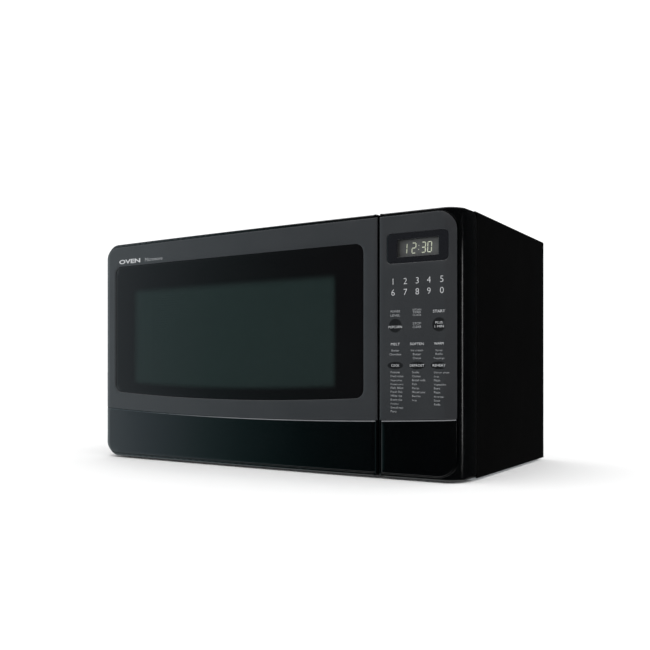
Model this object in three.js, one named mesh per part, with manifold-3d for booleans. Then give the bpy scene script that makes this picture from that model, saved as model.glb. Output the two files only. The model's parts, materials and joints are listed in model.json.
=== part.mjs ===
// Microwave oven, countertop or under-cabinet size, with a left-hinged door.
//
// Millimetres, +Z up. The origin is on the surface that the feet stand on, under the middle of
// the oven. The front faces -Y and +X is to the right of someone facing it.

import * as THREE from 'three';
import { mergeVertices } from 'three/addons/utils/BufferGeometryUtils.js';
import Module from 'manifold-3d';

const wasm = await Module();
wasm.setup();

// ---------------------------------------------------------------- driving dimensions

// Outer body
const HALF_W = 305;           // half of the oven's width
const BASE_Z = 3;             // underside of the body, above the feet's soles
const TOP_Z = 333;            // top of the body
const CHORD_Y = -165;         // front plane through the ends of the bowed front
const REAR_Y = 170;           // rear edge of the cabinet wrap
const BOW = 5;                // how far the middle of the front stands proud
const END_X = 25;             // plan size of the rounded ends of the front, along X
const END_Y = 45;             // and along Y
const LIP = 4.2;              // glossy lip that shows round the front skins
const SKIN_X = 294.5;         // half width covered by the front skins
const PANEL_CORNER = [21, 21];    // rounded right corners of the panel's skins, along X and Z
const DOOR_CORNER = [42, 21];     // rounded left corners of the door moulding
const SKIN_CORNER = [DOOR_CORNER[0] - HALF_W + SKIN_X, DOOR_CORNER[1] - LIP];
const EDGE_R = 2;                 // small corners beside the gap

// Front layout
const DOOR_RIGHT = 192.6;     // free edge of the door
const PANEL_LEFT = 195.6;     // left edge of the control panel
const SEAM_Z = 70;            // middle of the seam between the satin and the glossy skins
const SEAM_RISE = 7.5;        // how much higher that seam is at the ends
const WINDOW = { x0: -268, x1: 173.5, top: 298.5, bottom: 94.5, rise: 6.5, r: 12 };
const VIEW = { x0: -219, x1: 130, z0: 110, z1: 255 };
const DISPLAY = { x0: 205.2, x1: 286.5, z0: 268.7, z1: 307, r: 6 };
const LCD = { x0: 219.6, x1: 273.7, z0: 276.7, z1: 298.2 };

// Front to back
const DOOR_BACK = -123;       // rear plane of the closed door
const PLATE_Y = -121;         // front of the cavity's front plate
const PLATE_RIGHT = 201;      // its right edge, behind the control panel's left wall
const SHEET = 1.5;            // sheet metal
const WRAP_Y = -118;          // front edge of the cabinet wrap
const GAP = 0.3;              // clearance between pieces that touch
const WALL = 2.5;             // moulded walls of the door and the control frame
const SKIN_T = 2.6;           // thickness of the front skins
const WEB_T = 2;              // web behind the skins

// Oven cavity, inside faces
const CAV = { x0: -258.5, x1: 158.5, y1: 148.5, z0: 46, z1: 284 };
const TURN = { x: -50, y: 16 };

// Door hinge and latch
const HINGE = { x: -291.5, y: -135, r: 3.5 };
const HEEL_R = 12;            // rounded rear corner of the door, about the hinge pin
const HOOK = { x0: 178.5, x1: 182.5, tipY: -98 };
const HOOK_Z = [90, 240];

// Turntable
const ROLLER_R = 8;
const ROLLER_AT = 92;         // from the turntable's axis to the middle of an axle
const AXLE_R = 2;
const AXLE_Z = CAV.z0 + ROLLER_R + GAP;
const RING = { inner: 78, outer: 84, half: 2 };
const TRAY_R = 126;

// Cooling fan, right of the cavity
const FAN = { x: 236, z: 150, r: 47, wheelY: 136, motorY: 112, rear: 152, shaft: 1.8, blades: 5 };

// How far cuts and outlines reach in front of the oven, and above it
const AHEAD = -200;
const ABOVE = 400;

// ---------------------------------------------------------------- materials

const paint = (color, roughness, metalness = 0) =>
  new THREE.MeshStandardMaterial({ color, roughness, metalness });

const MAT = {
  cabinet: paint(0x0b0b0c, 0.35, 0.2),
  gloss: paint(0x08090a, 0.12),
  satin: paint(0x3a3b3e, 0.5),
  glass: paint(0x151617, 0.08),
  clear: paint(0xb8c2c0, 0.05),
  lcd: paint(0x7b7d78, 0.3),
  steel: paint(0x8f9294, 0.4, 0.9),
  enamel: paint(0xb9b7b0, 0.35),
  dark: paint(0x1d1e20, 0.55),
  copper: paint(0xa86a3d, 0.4, 0.9),
  rubber: paint(0x161616, 0.9),
  white: paint(0xd9d7d0, 0.6),
  board: paint(0x2f5d3a, 0.5),
  mica: paint(0xb9a98a, 0.6),
};

// ---------------------------------------------------------------- solid helpers

function toSolid(geometry) {
  const bare = geometry.index ? geometry.toNonIndexed() : geometry.clone();
  bare.deleteAttribute('normal');
  bare.deleteAttribute('uv');
  const merged = mergeVertices(bare, 1e-4);
  return new wasm.Manifold(new wasm.Mesh({
    numProp: 3,
    vertProperties: new Float32Array(merged.attributes.position.array),
    triVerts: new Uint32Array(merged.index.array),
  }));
}

function toGeometry(solid) {
  const mesh = solid.getMesh();
  const geometry = new THREE.BufferGeometry();
  const count = mesh.vertProperties.length / mesh.numProp;
  const position = new Float32Array(count * 3);
  for (let i = 0; i < count; i += 1) {
    for (let k = 0; k < 3; k += 1) position[3 * i + k] = mesh.vertProperties[mesh.numProp * i + k];
  }
  geometry.setAttribute('position', new THREE.BufferAttribute(position, 3));
  geometry.setIndex(new THREE.BufferAttribute(new Uint32Array(mesh.triVerts), 1));
  return geometry;
}

const union = (...solids) => solids.reduce((all, next) => all.add(next));
const cut = (solid, ...tools) => tools.reduce((rest, tool) => rest.subtract(tool), solid);

function box(x0, x1, y0, y1, z0, z1) {
  const geometry = new THREE.BoxGeometry(x1 - x0, y1 - y0, z1 - z0);
  geometry.translate((x0 + x1) / 2, (y0 + y1) / 2, (z0 + z1) / 2);
  return toSolid(geometry);
}

// A round rod along 'x', 'y' or 'z', centred at [x, y, z].
function rod(axis, radius, length, at, sides = 16) {
  const geometry = new THREE.CylinderGeometry(radius, radius, length, sides);
  if (axis === 'x') geometry.rotateZ(-Math.PI / 2);
  if (axis === 'z') geometry.rotateX(Math.PI / 2);
  geometry.translate(...at);
  return toSolid(geometry);
}

function extrude(shape, depth, curveSegments = 6) {
  return new THREE.ExtrudeGeometry(shape, { depth, bevelEnabled: false, curveSegments });
}

// A shape drawn in X and Y, raised along Z.
function plan(shape, z0, z1) {
  const geometry = extrude(shape, z1 - z0);
  geometry.translate(0, 0, z0);
  return toSolid(geometry);
}

// A shape drawn in X and Z, carried along Y.
function elevation(shape, y0, y1) {
  const geometry = extrude(shape, y1 - y0);
  geometry.rotateX(Math.PI / 2);
  geometry.translate(0, y1, 0);
  return toSolid(geometry);
}

// A shape drawn in Y and Z, carried along X.
function profile(shape, x0, x1) {
  const geometry = extrude(shape, x1 - x0);
  geometry.applyMatrix4(new THREE.Matrix4().set(0, 0, 1, 0, 1, 0, 0, 0, 0, 1, 0, 0, 0, 0, 0, 1));
  geometry.translate(x0, 0, 0);
  return toSolid(geometry);
}

// A ring or solid of revolution about a vertical axis through [x, y], from [radius, z] points.
function turned(points, x, y, sides = 24) {
  const outline = points.map(([radius, z]) => new THREE.Vector2(radius, z));
  const geometry = new THREE.LatheGeometry(outline, sides);
  geometry.rotateX(Math.PI / 2);
  geometry.translate(x, y, 0);
  return toSolid(geometry);
}

const polygon = (points) => new THREE.Shape(points.map(([x, y]) => new THREE.Vector2(x, y)));

// A rectangle whose corners are rounded: radii run anticlockwise from the lower left. A pair is
// an elliptical corner, along X and along the other axis.
function rounded(x0, x1, y0, y1, radii) {
  const all = Array.isArray(radii) ? radii : [radii, radii, radii, radii];
  const corners = [[x0, y0, 1, 1], [x1, y0, -1, 1], [x1, y1, -1, -1], [x0, y1, 1, -1]];
  const shape = new THREE.Shape();
  corners.forEach(([x, y, inX, inY], i) => {
    const [rx, ry] = Array.isArray(all[i]) ? all[i] : [all[i], all[i]];
    const start = Math.PI + (i * Math.PI) / 2;
    const upright = i % 2 === 0;
    const from = upright ? [x, y + inY * ry] : [x + inX * rx, y];
    if (i === 0) shape.moveTo(...from);
    else shape.lineTo(...from);
    if (rx) shape.absellipse(x + inX * rx, y + inY * ry, rx, ry, start, start + Math.PI / 2);
  });
  return shape;
}

// Turns a solid about a vertical axis through [x, y].
const spun = (solid, degrees, x, y) =>
  solid.translate([-x, -y, 0]).rotate([0, 0, degrees]).translate([x, y, 0]);

// ---------------------------------------------------------------- the bowed front

// Plan line of the front, moved inwards by inset, from the left end to the right end.
function frontLine(inset) {
  const points = [];
  const endSteps = 6;
  const bowSteps = 8;
  const flatHalf = HALF_W - END_X;
  for (let i = 0; i < endSteps; i += 1) {
    const t = (i / endSteps) * (Math.PI / 2);
    points.push([
      -flatHalf - (END_X - inset) * Math.cos(t),
      CHORD_Y + END_Y - (END_Y - inset) * Math.sin(t),
    ]);
  }
  for (let i = 0; i <= bowSteps; i += 1) {
    const u = -1 + (2 * i) / bowSteps;
    points.push([flatHalf * u, CHORD_Y + inset - BOW * (1 - u * u)]);
  }
  for (let i = endSteps - 1; i >= 0; i -= 1) {
    const [x, y] = points[i];
    points.push([-x, y]);
  }
  return points;
}

// Everything behind the front line moved inwards by inset, as far back as backY.
function behindFront(inset, backY, z0 = BASE_Z, z1 = TOP_Z) {
  const edge = HALF_W - inset;
  return plan(polygon([...frontLine(inset), [edge, backY], [-edge, backY]]), z0, z1);
}

// The same with its top and bottom front edges eased, as on the mouldings.
function easedFront(backY) {
  const ease = 4;
  return union(
    behindFront(0, backY, BASE_Z + ease, TOP_Z - ease),
    behindFront(1.2, backY, BASE_Z + 1.2, TOP_Z - 1.2),
    behindFront(ease, backY),
  );
}

// A layer that follows the front, between two insets.
const frontLayer = (inner, outer) => behindFront(inner, WRAP_Y).subtract(behindFront(outer, WRAP_Y + 1));

const seamAt = (x) => SEAM_Z + SEAM_RISE * (x / SKIN_X) ** 2;
const windowFloor = (x) => WINDOW.bottom + WINDOW.rise * ((x + 30) / 210) ** 2;

// Points along a floor or seam line, for the lower edge of a shape.
function edgeLine(height, x0, x1, steps = 8) {
  return Array.from({ length: steps + 1 }, (_, i) => {
    const x = x0 + ((x1 - x0) * i) / steps;
    return [x, height(x)];
  });
}

// Elevation of a satin skin: above the seam, with a rounded outer top corner.
function upperSkin(x0, x1, rounds) {
  const [left, right] = rounds;
  const body = elevation(rounded(x0, x1, BASE_Z + LIP, TOP_Z - LIP, [1, 1, right, left]), AHEAD, 0);
  const seam = edgeLine((x) => seamAt(x) + GAP, x0 - 1, x1 + 1);
  const above = polygon([...seam, [x1 + 1, ABOVE], [x0 - 1, ABOVE]]);
  return body.intersect(elevation(above, AHEAD - 1, 1));
}

// Elevation of a glossy skin: below the seam, with a rounded outer bottom corner.
function lowerSkin(x0, x1, rounds) {
  const [left, right] = rounds;
  const body = elevation(rounded(x0, x1, BASE_Z + LIP, TOP_Z - LIP, [left, right, 1, 1]), AHEAD, 0);
  const seam = edgeLine((x) => seamAt(x) - GAP, x0 - 1, x1 + 1);
  const below = polygon([[x0 - 1, -50], [x1 + 1, -50], ...seam.reverse()]);
  return body.intersect(elevation(below, AHEAD - 1, 1));
}

function windowShape(margin) {
  const x0 = WINDOW.x0 + margin;
  const x1 = WINDOW.x1 - margin;
  const r = WINDOW.r - margin;
  const shape = new THREE.Shape();
  const floor = edgeLine((x) => windowFloor(x) + margin, x0 + r, x1 - r);
  shape.moveTo(...floor[0]);
  floor.slice(1).forEach((point) => shape.lineTo(...point));
  shape.absarc(x1 - r, floor[floor.length - 1][1] + r, r, -Math.PI / 2, 0);
  shape.absarc(x1 - r, WINDOW.top - margin - r, r, 0, Math.PI / 2);
  shape.absarc(x0 + r, WINDOW.top - margin - r, r, Math.PI / 2, Math.PI);
  shape.absarc(x0 + r, floor[0][1] + r, r, Math.PI, 1.5 * Math.PI);
  return shape;
}

// ---------------------------------------------------------------- node register

const oven = new THREE.Group();

function add(name, solid, material) {
  const mesh = new THREE.Mesh(toGeometry(solid), material);
  mesh.name = name;
  oven.add(mesh);
}

// ---------------------------------------------------------------- cabinet

function cabinetShell() {
  const outer = rounded(-HALF_W, HALF_W, BASE_Z, TOP_Z, [0, 0, 3, 3]);
  const edge = HALF_W - SHEET;
  const inner = rounded(-edge, edge, BASE_Z - 1, TOP_Z - SHEET, [0, 0, SHEET, SHEET]);
  return elevation(outer, WRAP_Y, REAR_Y).subtract(elevation(inner, WRAP_Y - 1, REAR_Y + 1));
}

const FEET = [[-250, -85], [250, -85], [-250, 130], [250, 130]];
const FOOT = { r: 11, sole: 10, stem: 4, high: 2.9, top: 9 };
const SHELF_Z = BASE_Z + 0.2;     // underside of the base plate, inside the wrap
const REAR_FACE = 159;            // inner face of the rear panel
const THROUGH = 60;               // length of a hole that goes right through a wall

// Slots under the power parts, in the fan's outlet and along the top of the rear panel.
const BASE_VENT = { count: 8, pitch: 12, slot: 5, x0: 190, x1: 280, y: -60 };
const FAN_VENT = { count: 7, pitch: 11, slot: 5, x0: 196, x1: 276, z: 114 };
const TOP_VENT = { count: 9, pitch: 24, slot: 16, x: -220, z0: 300, z1: 304 };
const GLAND = { at: [268, REAR_FACE + 1, 40], r: 8, collar: 11, bore: 4.5, long: 12 };

function basePlate() {
  const edge = HALF_W - SHEET - GAP;
  let plate = box(-edge, edge, WRAP_Y + 1, REAR_FACE - 1, SHELF_Z, SHELF_Z + SHEET);
  for (const [x, y] of FEET) plate = plate.subtract(rod('z', FOOT.stem + GAP, 10, [x, y, BASE_Z]));
  const { count, pitch, slot, x0, x1 } = BASE_VENT;
  for (let i = 0; i < count; i += 1) {
    const y = BASE_VENT.y + pitch * i;
    plate = plate.subtract(box(x0, x1, y, y + slot, 0, 10));
  }
  return plate;
}

function rearPanel() {
  const edge = HALF_W - SHEET - GAP;
  const [back, front] = [REAR_FACE + 10, REAR_FACE - 10];
  const face = rounded(-edge, edge, SHELF_Z, TOP_Z - SHEET - GAP, [0, 0, 3, 3]);
  let panel = elevation(face, REAR_FACE, REAR_FACE + SHEET);
  for (let row = 0; row < FAN_VENT.count; row += 1) {
    const z = FAN_VENT.z + FAN_VENT.pitch * row;
    panel = panel.subtract(box(FAN_VENT.x0, FAN_VENT.x1, front, back, z, z + FAN_VENT.slot));
  }
  for (let column = 0; column < TOP_VENT.count; column += 1) {
    const x = TOP_VENT.x + TOP_VENT.pitch * column;
    panel = panel.subtract(box(x, x + TOP_VENT.slot, front, back, TOP_VENT.z0, TOP_VENT.z1));
  }
  return panel.subtract(rod('y', GLAND.r + GAP, THROUGH, GLAND.at));
}

// Bush for the mains lead, with its collar outside the rear panel.
function cordGland() {
  const [x, y, z] = GLAND.at;
  const bush = rod('y', GLAND.r, GLAND.long, GLAND.at);
  const collar = rod('y', GLAND.collar, 3.5, [x, y + 3, z]);
  return cut(union(bush, collar), rod('y', GLAND.bore, THROUGH, GLAND.at));
}

function foot([x, y]) {
  const { r, sole, stem, high, top } = FOOT;
  return turned([[0, 0], [sole, 0], [r, 1], [r, high], [stem, high], [stem, top], [0, top]], x, y, 16);
}

// ---------------------------------------------------------------- cavity

function frontPlate() {
  const [before, behind] = [PLATE_Y - 9, PLATE_Y + 11];
  let plate = box(-HALF_W + 3.5, PLATE_RIGHT, PLATE_Y, PLATE_Y + SHEET, BASE_Z + 3, TOP_Z - 3);
  plate = plate.subtract(box(CAV.x0, CAV.x1, before, behind, CAV.z0, CAV.z1));
  for (const z of HOOK_Z) {
    plate = plate.subtract(box(HOOK.x0 - 4, HOOK.x1 + 4, before, behind, z - 10, z + 20));
  }
  return plate;
}

const GUIDE = { y0: -40, y1: 50, z0: 190, z1: 240, deep: 30, aerial: [22, 215] };
const SIDE_VENT = { count: 4, pitch: 9, slot: 4, y: 78, z0: 200, z1: 230 };
const LAMP = { x: 190, y: 112, z: 268, bulb: 9 };

function ovenCavity() {
  const front = PLATE_Y + SHEET + GAP;
  const walls = [CAV.x0 - SHEET, CAV.x1 + SHEET, front, CAV.y1 + SHEET, CAV.z0 - SHEET, CAV.z1 + SHEET];
  let cavity = box(...walls).subtract(box(CAV.x0, CAV.x1, front - 5, CAV.y1, CAV.z0, CAV.z1));
  cavity = cavity.subtract(rod('z', 8, 20, [TURN.x, TURN.y, CAV.z0]));
  cavity = cavity.subtract(box(CAV.x1 - 5, CAV.x1 + 5, GUIDE.y0, GUIDE.y1, GUIDE.z0, GUIDE.z1));
  for (let i = 0; i < SIDE_VENT.count; i += 1) {
    const y = SIDE_VENT.y + SIDE_VENT.pitch * i;
    const slot = box(CAV.x1 - 5, CAV.x1 + 5, y, y + SIDE_VENT.slot, SIDE_VENT.z0, SIDE_VENT.z1);
    cavity = cavity.subtract(slot);
  }
  return cavity;
}

// Duct from the magnetron's aerial to the window in the cavity wall.
function waveguide() {
  const x0 = CAV.x1 + SHEET + GAP;
  const x1 = x0 + GUIDE.deep;
  const duct = box(x0, x1, GUIDE.y0 - 6, GUIDE.y1 + 6, GUIDE.z0 - 6, GUIDE.z1 + 6);
  const inside = box(x0 - 1, x1 - SHEET, GUIDE.y0 - 4, GUIDE.y1 + 4, GUIDE.z0 - 4, GUIDE.z1 + 4);
  return cut(duct, inside, rod('x', 13, 10, [x1, ...GUIDE.aerial]));
}

function waveguideCover() {
  const x1 = CAV.x1 - GAP;
  return box(x1 - 1, x1, GUIDE.y0 - 8, GUIDE.y1 + 8, GUIDE.z0 - 8, GUIDE.z1 + 8);
}

function lampSocket() {
  const { x, y, z } = LAMP;
  return cut(rod('y', 12, 22, [x, y, z], 12), rod('y', 7.5, 14, [x, y - 10, z], 12));
}

function lampBulb() {
  const { x, y, z, bulb } = LAMP;
  const glass = new THREE.SphereGeometry(bulb, 12, 8);
  glass.translate(x, y - 25, z);
  return union(toSolid(glass), rod('y', 7, 22, [x, y - 14, z], 12));
}

// ---------------------------------------------------------------- power parts

const YOKE = { long: 63, halfY: 42, halfZ: 40, thick: 3 };
const FIN = { count: 7, pitch: 7, thick: 1.5, half: 38 };
const CORE = { x0: 192, x1: 278, halfY: 30, top: 82 };        // transformer's laminated core
const COIL = { x0: 206, x1: 264, halfY: 48, z0: 14, z1: 70 };
const CAN = { x0: 190, x1: 290, z0: 88, z1: 122, r: 17 };     // capacitor, lying front to back
const DIODE_AT = [292, 80, 60];

// A framed stack of cooling fins round the anode, its aerial in the duct, its filter box outside.
function magnetron() {
  const x0 = CAV.x1 + SHEET + GAP + GUIDE.deep + GAP;
  const [y, z] = GUIDE.aerial;
  const { long, halfY, halfZ, thick } = YOKE;
  const tall = halfZ - 2;
  let body = union(
    box(x0, x0 + thick, y - halfY, y + halfY, z - tall, z + tall),
    box(x0 + long - thick, x0 + long, y - halfY, y + halfY, z - tall, z + tall),
    box(x0, x0 + long, y - halfY, y + halfY, z - halfZ, z - halfZ + thick),
    box(x0, x0 + long, y - halfY, y + halfY, z + halfZ - thick, z + halfZ),
    rod('x', 19, long - 1, [x0 + (long - 1) / 2, y, z], 12),
    rod('x', 9, 24, [x0 - 9, y, z], 12),
    box(x0 + long - 1, x0 + long + 23, y - 18, y + 18, z - 18, z + 18),
  );
  for (let i = 0; i < FIN.count; i += 1) {
    const x = x0 + 10 + FIN.pitch * i;
    body = body.add(box(x, x + FIN.thick, y - FIN.half, y + FIN.half, z - FIN.half, z + FIN.half));
  }
  return body;
}

const transformer = () => union(
  box(CORE.x0, CORE.x1, -CORE.halfY, CORE.halfY, SHELF_Z + SHEET + 0.5, CORE.top),
  box(COIL.x0, COIL.x1, -COIL.halfY, COIL.halfY, COIL.z0, COIL.z1),
);

const capacitor = () => elevation(rounded(CAN.x0, CAN.x1, CAN.z0, CAN.z1, CAN.r), -40, 60);

const diode = () => union(rod('y', 4, 22, DIODE_AT, 8), rod('y', 1, 44, DIODE_AT, 6));

const aboutFan = (solid, degrees) =>
  solid.translate([-FAN.x, 0, -FAN.z]).rotate([0, degrees, 0]).translate([FAN.x, 0, FAN.z]);

// A rod on the fan's axis.
const fanRod = (radius, length, y, sides) => rod('y', radius, length, [FAN.x, y, FAN.z], sides);

function fanShroud() {
  const { x, z, r, rear, wheelY } = FAN;
  const plate = box(x - 58, x + 58, rear - 2, rear, z - 56, z + 56);
  const collar = fanRod(r + 5, 22, wheelY + 3.5, 24);
  let shroud = cut(union(plate, collar), fanRod(r + 3, THROUGH, wheelY, 24));
  for (const angle of [30, 150, 270]) {
    const arm = box(x + 20, x + r + 4, rear - 4, rear, z - 3, z + 3);
    shroud = shroud.add(aboutFan(arm, angle));
  }
  return cut(shroud.add(fanRod(23, 4, rear - 2, 16)), fanRod(3, THROUGH, rear, 8));
}

function fanMotor() {
  const { x, z, motorY, shaft } = FAN;
  const plate = box(x - 24, x + 24, motorY + 8.5, motorY + 12, z - 20, z + 20);
  return cut(union(plate, fanRod(20, 22, motorY, 12)), fanRod(shaft + 0.4, 40, motorY + 6, 8));
}

function fanBlade() {
  const { x, z, r, wheelY, shaft, blades } = FAN;
  let wheel = fanRod(11, 15, wheelY, 12).add(fanRod(shaft, 24, wheelY - 8, 8));
  for (let i = 0; i < blades; i += 1) {
    const blade = box(-1, 1, -9, 9, 8, r).rotate([0, 0, 40]).translate([x, wheelY, z]);
    wheel = wheel.add(aboutFan(blade, (360 / blades) * i));
  }
  return wheel;
}

// A disc switch on the cavity's roof.
function thermostat() {
  const [x, y, roof] = [60, 60, CAV.z1 + SHEET + GAP];
  return union(rod('z', 10, 8, [x, y, roof + 4], 12), box(x - 12, x + 12, y - 3, y + 3, roof, roof + 1.5));
}

// The board, then its choke, its fuse and its terminals, all standing on it.
function filterBoard() {
  const [low, top] = [12, 13.6];
  return union(
    box(186, 296, 84, 148, low, top),
    box(200, 226, 92, 116, low + 1, 34),
    rod('z', 11, 24, [250, 104, low + 12], 12),
    box(270, 292, 90, 96, low + 1, 22),
  );
}

const SCREW = { r: 4, high: 2.4 };
const rearScrew = (x, z) =>
  rod('y', SCREW.r, SCREW.high, [x, REAR_FACE + SHEET + GAP + SCREW.high / 2, z], 8);

// ---------------------------------------------------------------- turntable

// A flat can with two fixing ears and its terminal block.
function turntableMotor() {
  const { x, y } = TURN;
  return union(
    rod('z', 25, 16, [x, y, CAV.z0 - 12], 16),
    box(x - 34, x + 34, y - 7, y + 7, CAV.z0 - 6, CAV.z0 - 4),
    box(x + 20, x + 36, y - 10, y + 10, CAV.z0 - 19, CAV.z0 - 8),
  );
}

function turntableCoupler() {
  const { x, y } = TURN;
  const shaft = rod('z', 4, 20, [x, y, CAV.z0 + 6.5], 12);
  let hub = shaft.add(rod('z', 11, 7, [x, y, CAV.z0 + 8], 12));
  const wing = box(x, x + 17, y - 4, y + 4, CAV.z0 + 6, CAV.z0 + 14.5);
  for (const angle of [0, 120, 240]) hub = hub.add(spun(wing, angle, x, y));
  return hub;
}

// Support ring whose three arms end in axle pins for the rollers.
function rollerRing() {
  const { x, y } = TURN;
  const { inner, outer, half } = RING;
  const [low, high] = [AXLE_Z - half, AXLE_Z + half];
  let ring = turned([[inner, low], [outer, low], [outer, high], [inner, high], [inner, low]], x, y, 32);
  for (let i = 0; i < 3; i += 1) {
    const pin = rod('x', AXLE_R, 20, [x + ROLLER_AT, y, AXLE_Z], 8);
    const arm = box(x + outer - 3, x + outer + 1, y - 5, y + 5, AXLE_Z - 2.5, AXLE_Z + 2.5);
    ring = ring.add(spun(pin.add(arm), 120 * i, x, y));
  }
  return ring;
}

function roller(index) {
  const { x, y } = TURN;
  const at = [x + ROLLER_AT + 1, y, AXLE_Z];
  const wheel = cut(rod('x', ROLLER_R, 8, at, 20), rod('x', AXLE_R + GAP, 20, at, 8));
  return spun(wheel, 120 * index, x, y);
}

// A dish with a raised rim, flat under the food.
function glassTray() {
  const floor = AXLE_Z + ROLLER_R + GAP;
  return turned([
    [0, floor], [98, floor], [112, floor + 3], [TRAY_R - 1, floor + 12], [TRAY_R, floor + 14],
    [TRAY_R - 4, floor + 14.5], [110, floor + 8], [96, floor + 4.5], [0, floor + 4.5],
  ], TURN.x, TURN.y, 40);
}

// ---------------------------------------------------------------- control panel

function controlFrame() {
  const face = elevation(rounded(PANEL_LEFT, HALF_W, BASE_Z, TOP_Z, [2, 3, 3, 2]), AHEAD, 0);
  const shell = easedFront(WRAP_Y - 1).intersect(face);
  const recess = frontLayer(-10, SKIN_T + GAP).intersect(skinPocket());
  const hollow = behindFront(SKIN_T + GAP + WEB_T, 0, BASE_Z + WALL, TOP_Z - WALL)
    .intersect(box(PANEL_LEFT + WALL, HALF_W - WALL, AHEAD, 0, BASE_Z + WALL, TOP_Z - WALL));
  const belowSeam = polygon([
    [PANEL_LEFT, -50],
    [HALF_W, -50],
    ...edgeLine((x) => seamAt(x) + GAP, PANEL_LEFT, HALF_W).reverse(),
  ]);
  const lowerBay = skinPocket().intersect(elevation(belowSeam, AHEAD - 2, DOOR_BACK));
  const tape = box(DISPLAY.x0 + 6, DISPLAY.x1 - 6, AHEAD, 0, DISPLAY.z0 + 4, DISPLAY.z1 - 4);
  const plateRoom = box(PANEL_LEFT - 1, PLATE_RIGHT + GAP, PLATE_Y - GAP, 0, 0, ABOVE);
  return cut(shell, recess, hollow, lowerBay, tape, plateRoom);
}

// Opening in the control frame that the skins and the button sit in.
function skinPocket() {
  const radii = [EDGE_R, PANEL_CORNER, PANEL_CORNER, EDGE_R];
  const x1 = SKIN_X + 1.5;
  const mouth = rounded(PANEL_LEFT + EDGE_R, x1, BASE_Z + LIP - GAP, TOP_Z - LIP + GAP, radii);
  return elevation(mouth, AHEAD - 1, 1);
}

function controlFascia() {
  const face = upperSkin(PANEL_LEFT + EDGE_R + GAP, SKIN_X, [1, PANEL_CORNER]);
  const pane = elevation(rounded(DISPLAY.x0, DISPLAY.x1, DISPLAY.z0, DISPLAY.z1, DISPLAY.r), AHEAD, 0);
  const sheet = frontLayer(-10, 1).intersect(keypadFace(GAP));
  return cut(frontLayer(0, SKIN_T).intersect(face), pane, sheet);
}

const KEYS = { x0: 202, x1: 289, z0: 84, z1: 262, r: 3 };

function keypadFace(margin) {
  const { x0, x1, z0, z1, r } = KEYS;
  const face = rounded(x0 - margin, x1 + margin, z0 - margin, z1 + margin, r + margin);
  return elevation(face, AHEAD - 1, 1);
}

const keypad = () => frontLayer(0.2, 1 - GAP).intersect(keypadFace(0));

function displayWindow() {
  const face = rounded(DISPLAY.x0 + GAP, DISPLAY.x1 - GAP, DISPLAY.z0 + GAP, DISPLAY.z1 - GAP, DISPLAY.r);
  return frontLayer(0.6, SKIN_T - 0.2).intersect(elevation(face, AHEAD, 0));
}

const CELL_Y = -159;              // front of the display cell
const BOARD = { x0: 201, x1: 288, z0: 90, z1: 316, front: -142, thick: 1.6 };

const displayModule = () => union(
  box(LCD.x0 - 4, LCD.x1 + 4, CELL_Y + 1.5, CELL_Y + 11, LCD.z0 - 3, LCD.z1 + 3),
  box(LCD.x0, LCD.x1, CELL_Y, CELL_Y + 9, LCD.z0, LCD.z1),
);

// The board with a transformer, a relay, the display's seat and the buzzer.
function controlBoard() {
  const rear = BOARD.front + BOARD.thick;
  return union(
    box(BOARD.x0, BOARD.x1, BOARD.front, rear, BOARD.z0, BOARD.z1),
    box(214, 244, rear - 0.2, rear + 16.4, 100, 128),
    box(252, 272, rear - 0.2, rear + 14.4, 150, 175),
    box(210, 280, BOARD.front - 5.5, BOARD.front + 1, 272, 303),
    rod('y', 8, 18, [224, rear + 8.4, 210], 10),
  );
}

function openButton() {
  const face = lowerSkin(PANEL_LEFT + EDGE_R + GAP, SKIN_X, [1, PANEL_CORNER]);
  const skin = frontLayer(0, SKIN_T).intersect(face);
  const [left, right] = [KEYS.x0, 276];
  const push = box(left, left + 4, CHORD_Y - 0.5, DOOR_BACK + 3, 42, 58);
  const guide = box(right - 4, right, CHORD_Y, CHORD_Y + 23, 16, 60);
  const rib = box(left, right, CHORD_Y, CHORD_Y + 13, 48, 51);
  return union(skin, push, guide, rib);
}

const LEVER = { y: -112, z: 68, pin: 2 };     // the release lever's pivot, along X

// Rocker between the button's push rod and the lower hook.
function releaseLever() {
  const { y, z, pin } = LEVER;
  const [front, rear, low] = [y - 6, y + 0.5, z - 26];
  const arm = polygon([
    [front, low], [rear, low], [y + 4, z - 4], [y + 14, z + 8],
    [y + 11.5, z + 11], [y + 2, z + 7], [y - 3, z + 2],
  ]);
  const pad = polygon([[front, low], [rear, low], [y + 1.5, z - 10], [y - 5, z - 10]]);
  const { x0 } = HOOK;
  return cut(
    union(profile(arm, x0 + 0.5, x0 + 4.5), profile(pad, x0 + 0.5, 207), rod('x', 5, 24, [191, y, z], 12)),
    rod('x', pin + GAP, THROUGH, [191, y, z], 8),
  );
}

const BRACKET = { x0: 172, wide: 211, slim: 199, wall: 187, foot: 60, step: 84, top: 268, rear: -86 };

// Plate behind the front plate, with a wall for the switches and two ears for the lever's pin.
function latchBracket() {
  const { x0, wide, slim, wall, foot: base, step, top, rear } = BRACKET;
  const y = PLATE_Y + SHEET + GAP;
  const ear = (x) => box(x, x + 2, y, LEVER.y + 6, LEVER.z - 6, LEVER.z + 6);
  const room = (z0, z1, back, left = 174) => box(left, wall - 0.1, y - 6, back, z0, z1);
  const plate = union(
    box(x0, wide, y, y + 2, base, step),
    box(x0, slim, y, y + 2, step - 1, top),
    box(wall, wall + 2.5, y, rear, step, top),
    ear(175.5),
    ear(208.5),
    rod('x', LEVER.pin, 34, [193, LEVER.y, LEVER.z], 8),
  );
  const [low, high] = HOOK_Z;
  return cut(
    plate,
    room(base, low + 2, rear + 6, 178),
    room(low - 12, low + 20, y + 10),
    room(high - 10, high + 20, y + 10),
  );
}

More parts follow.
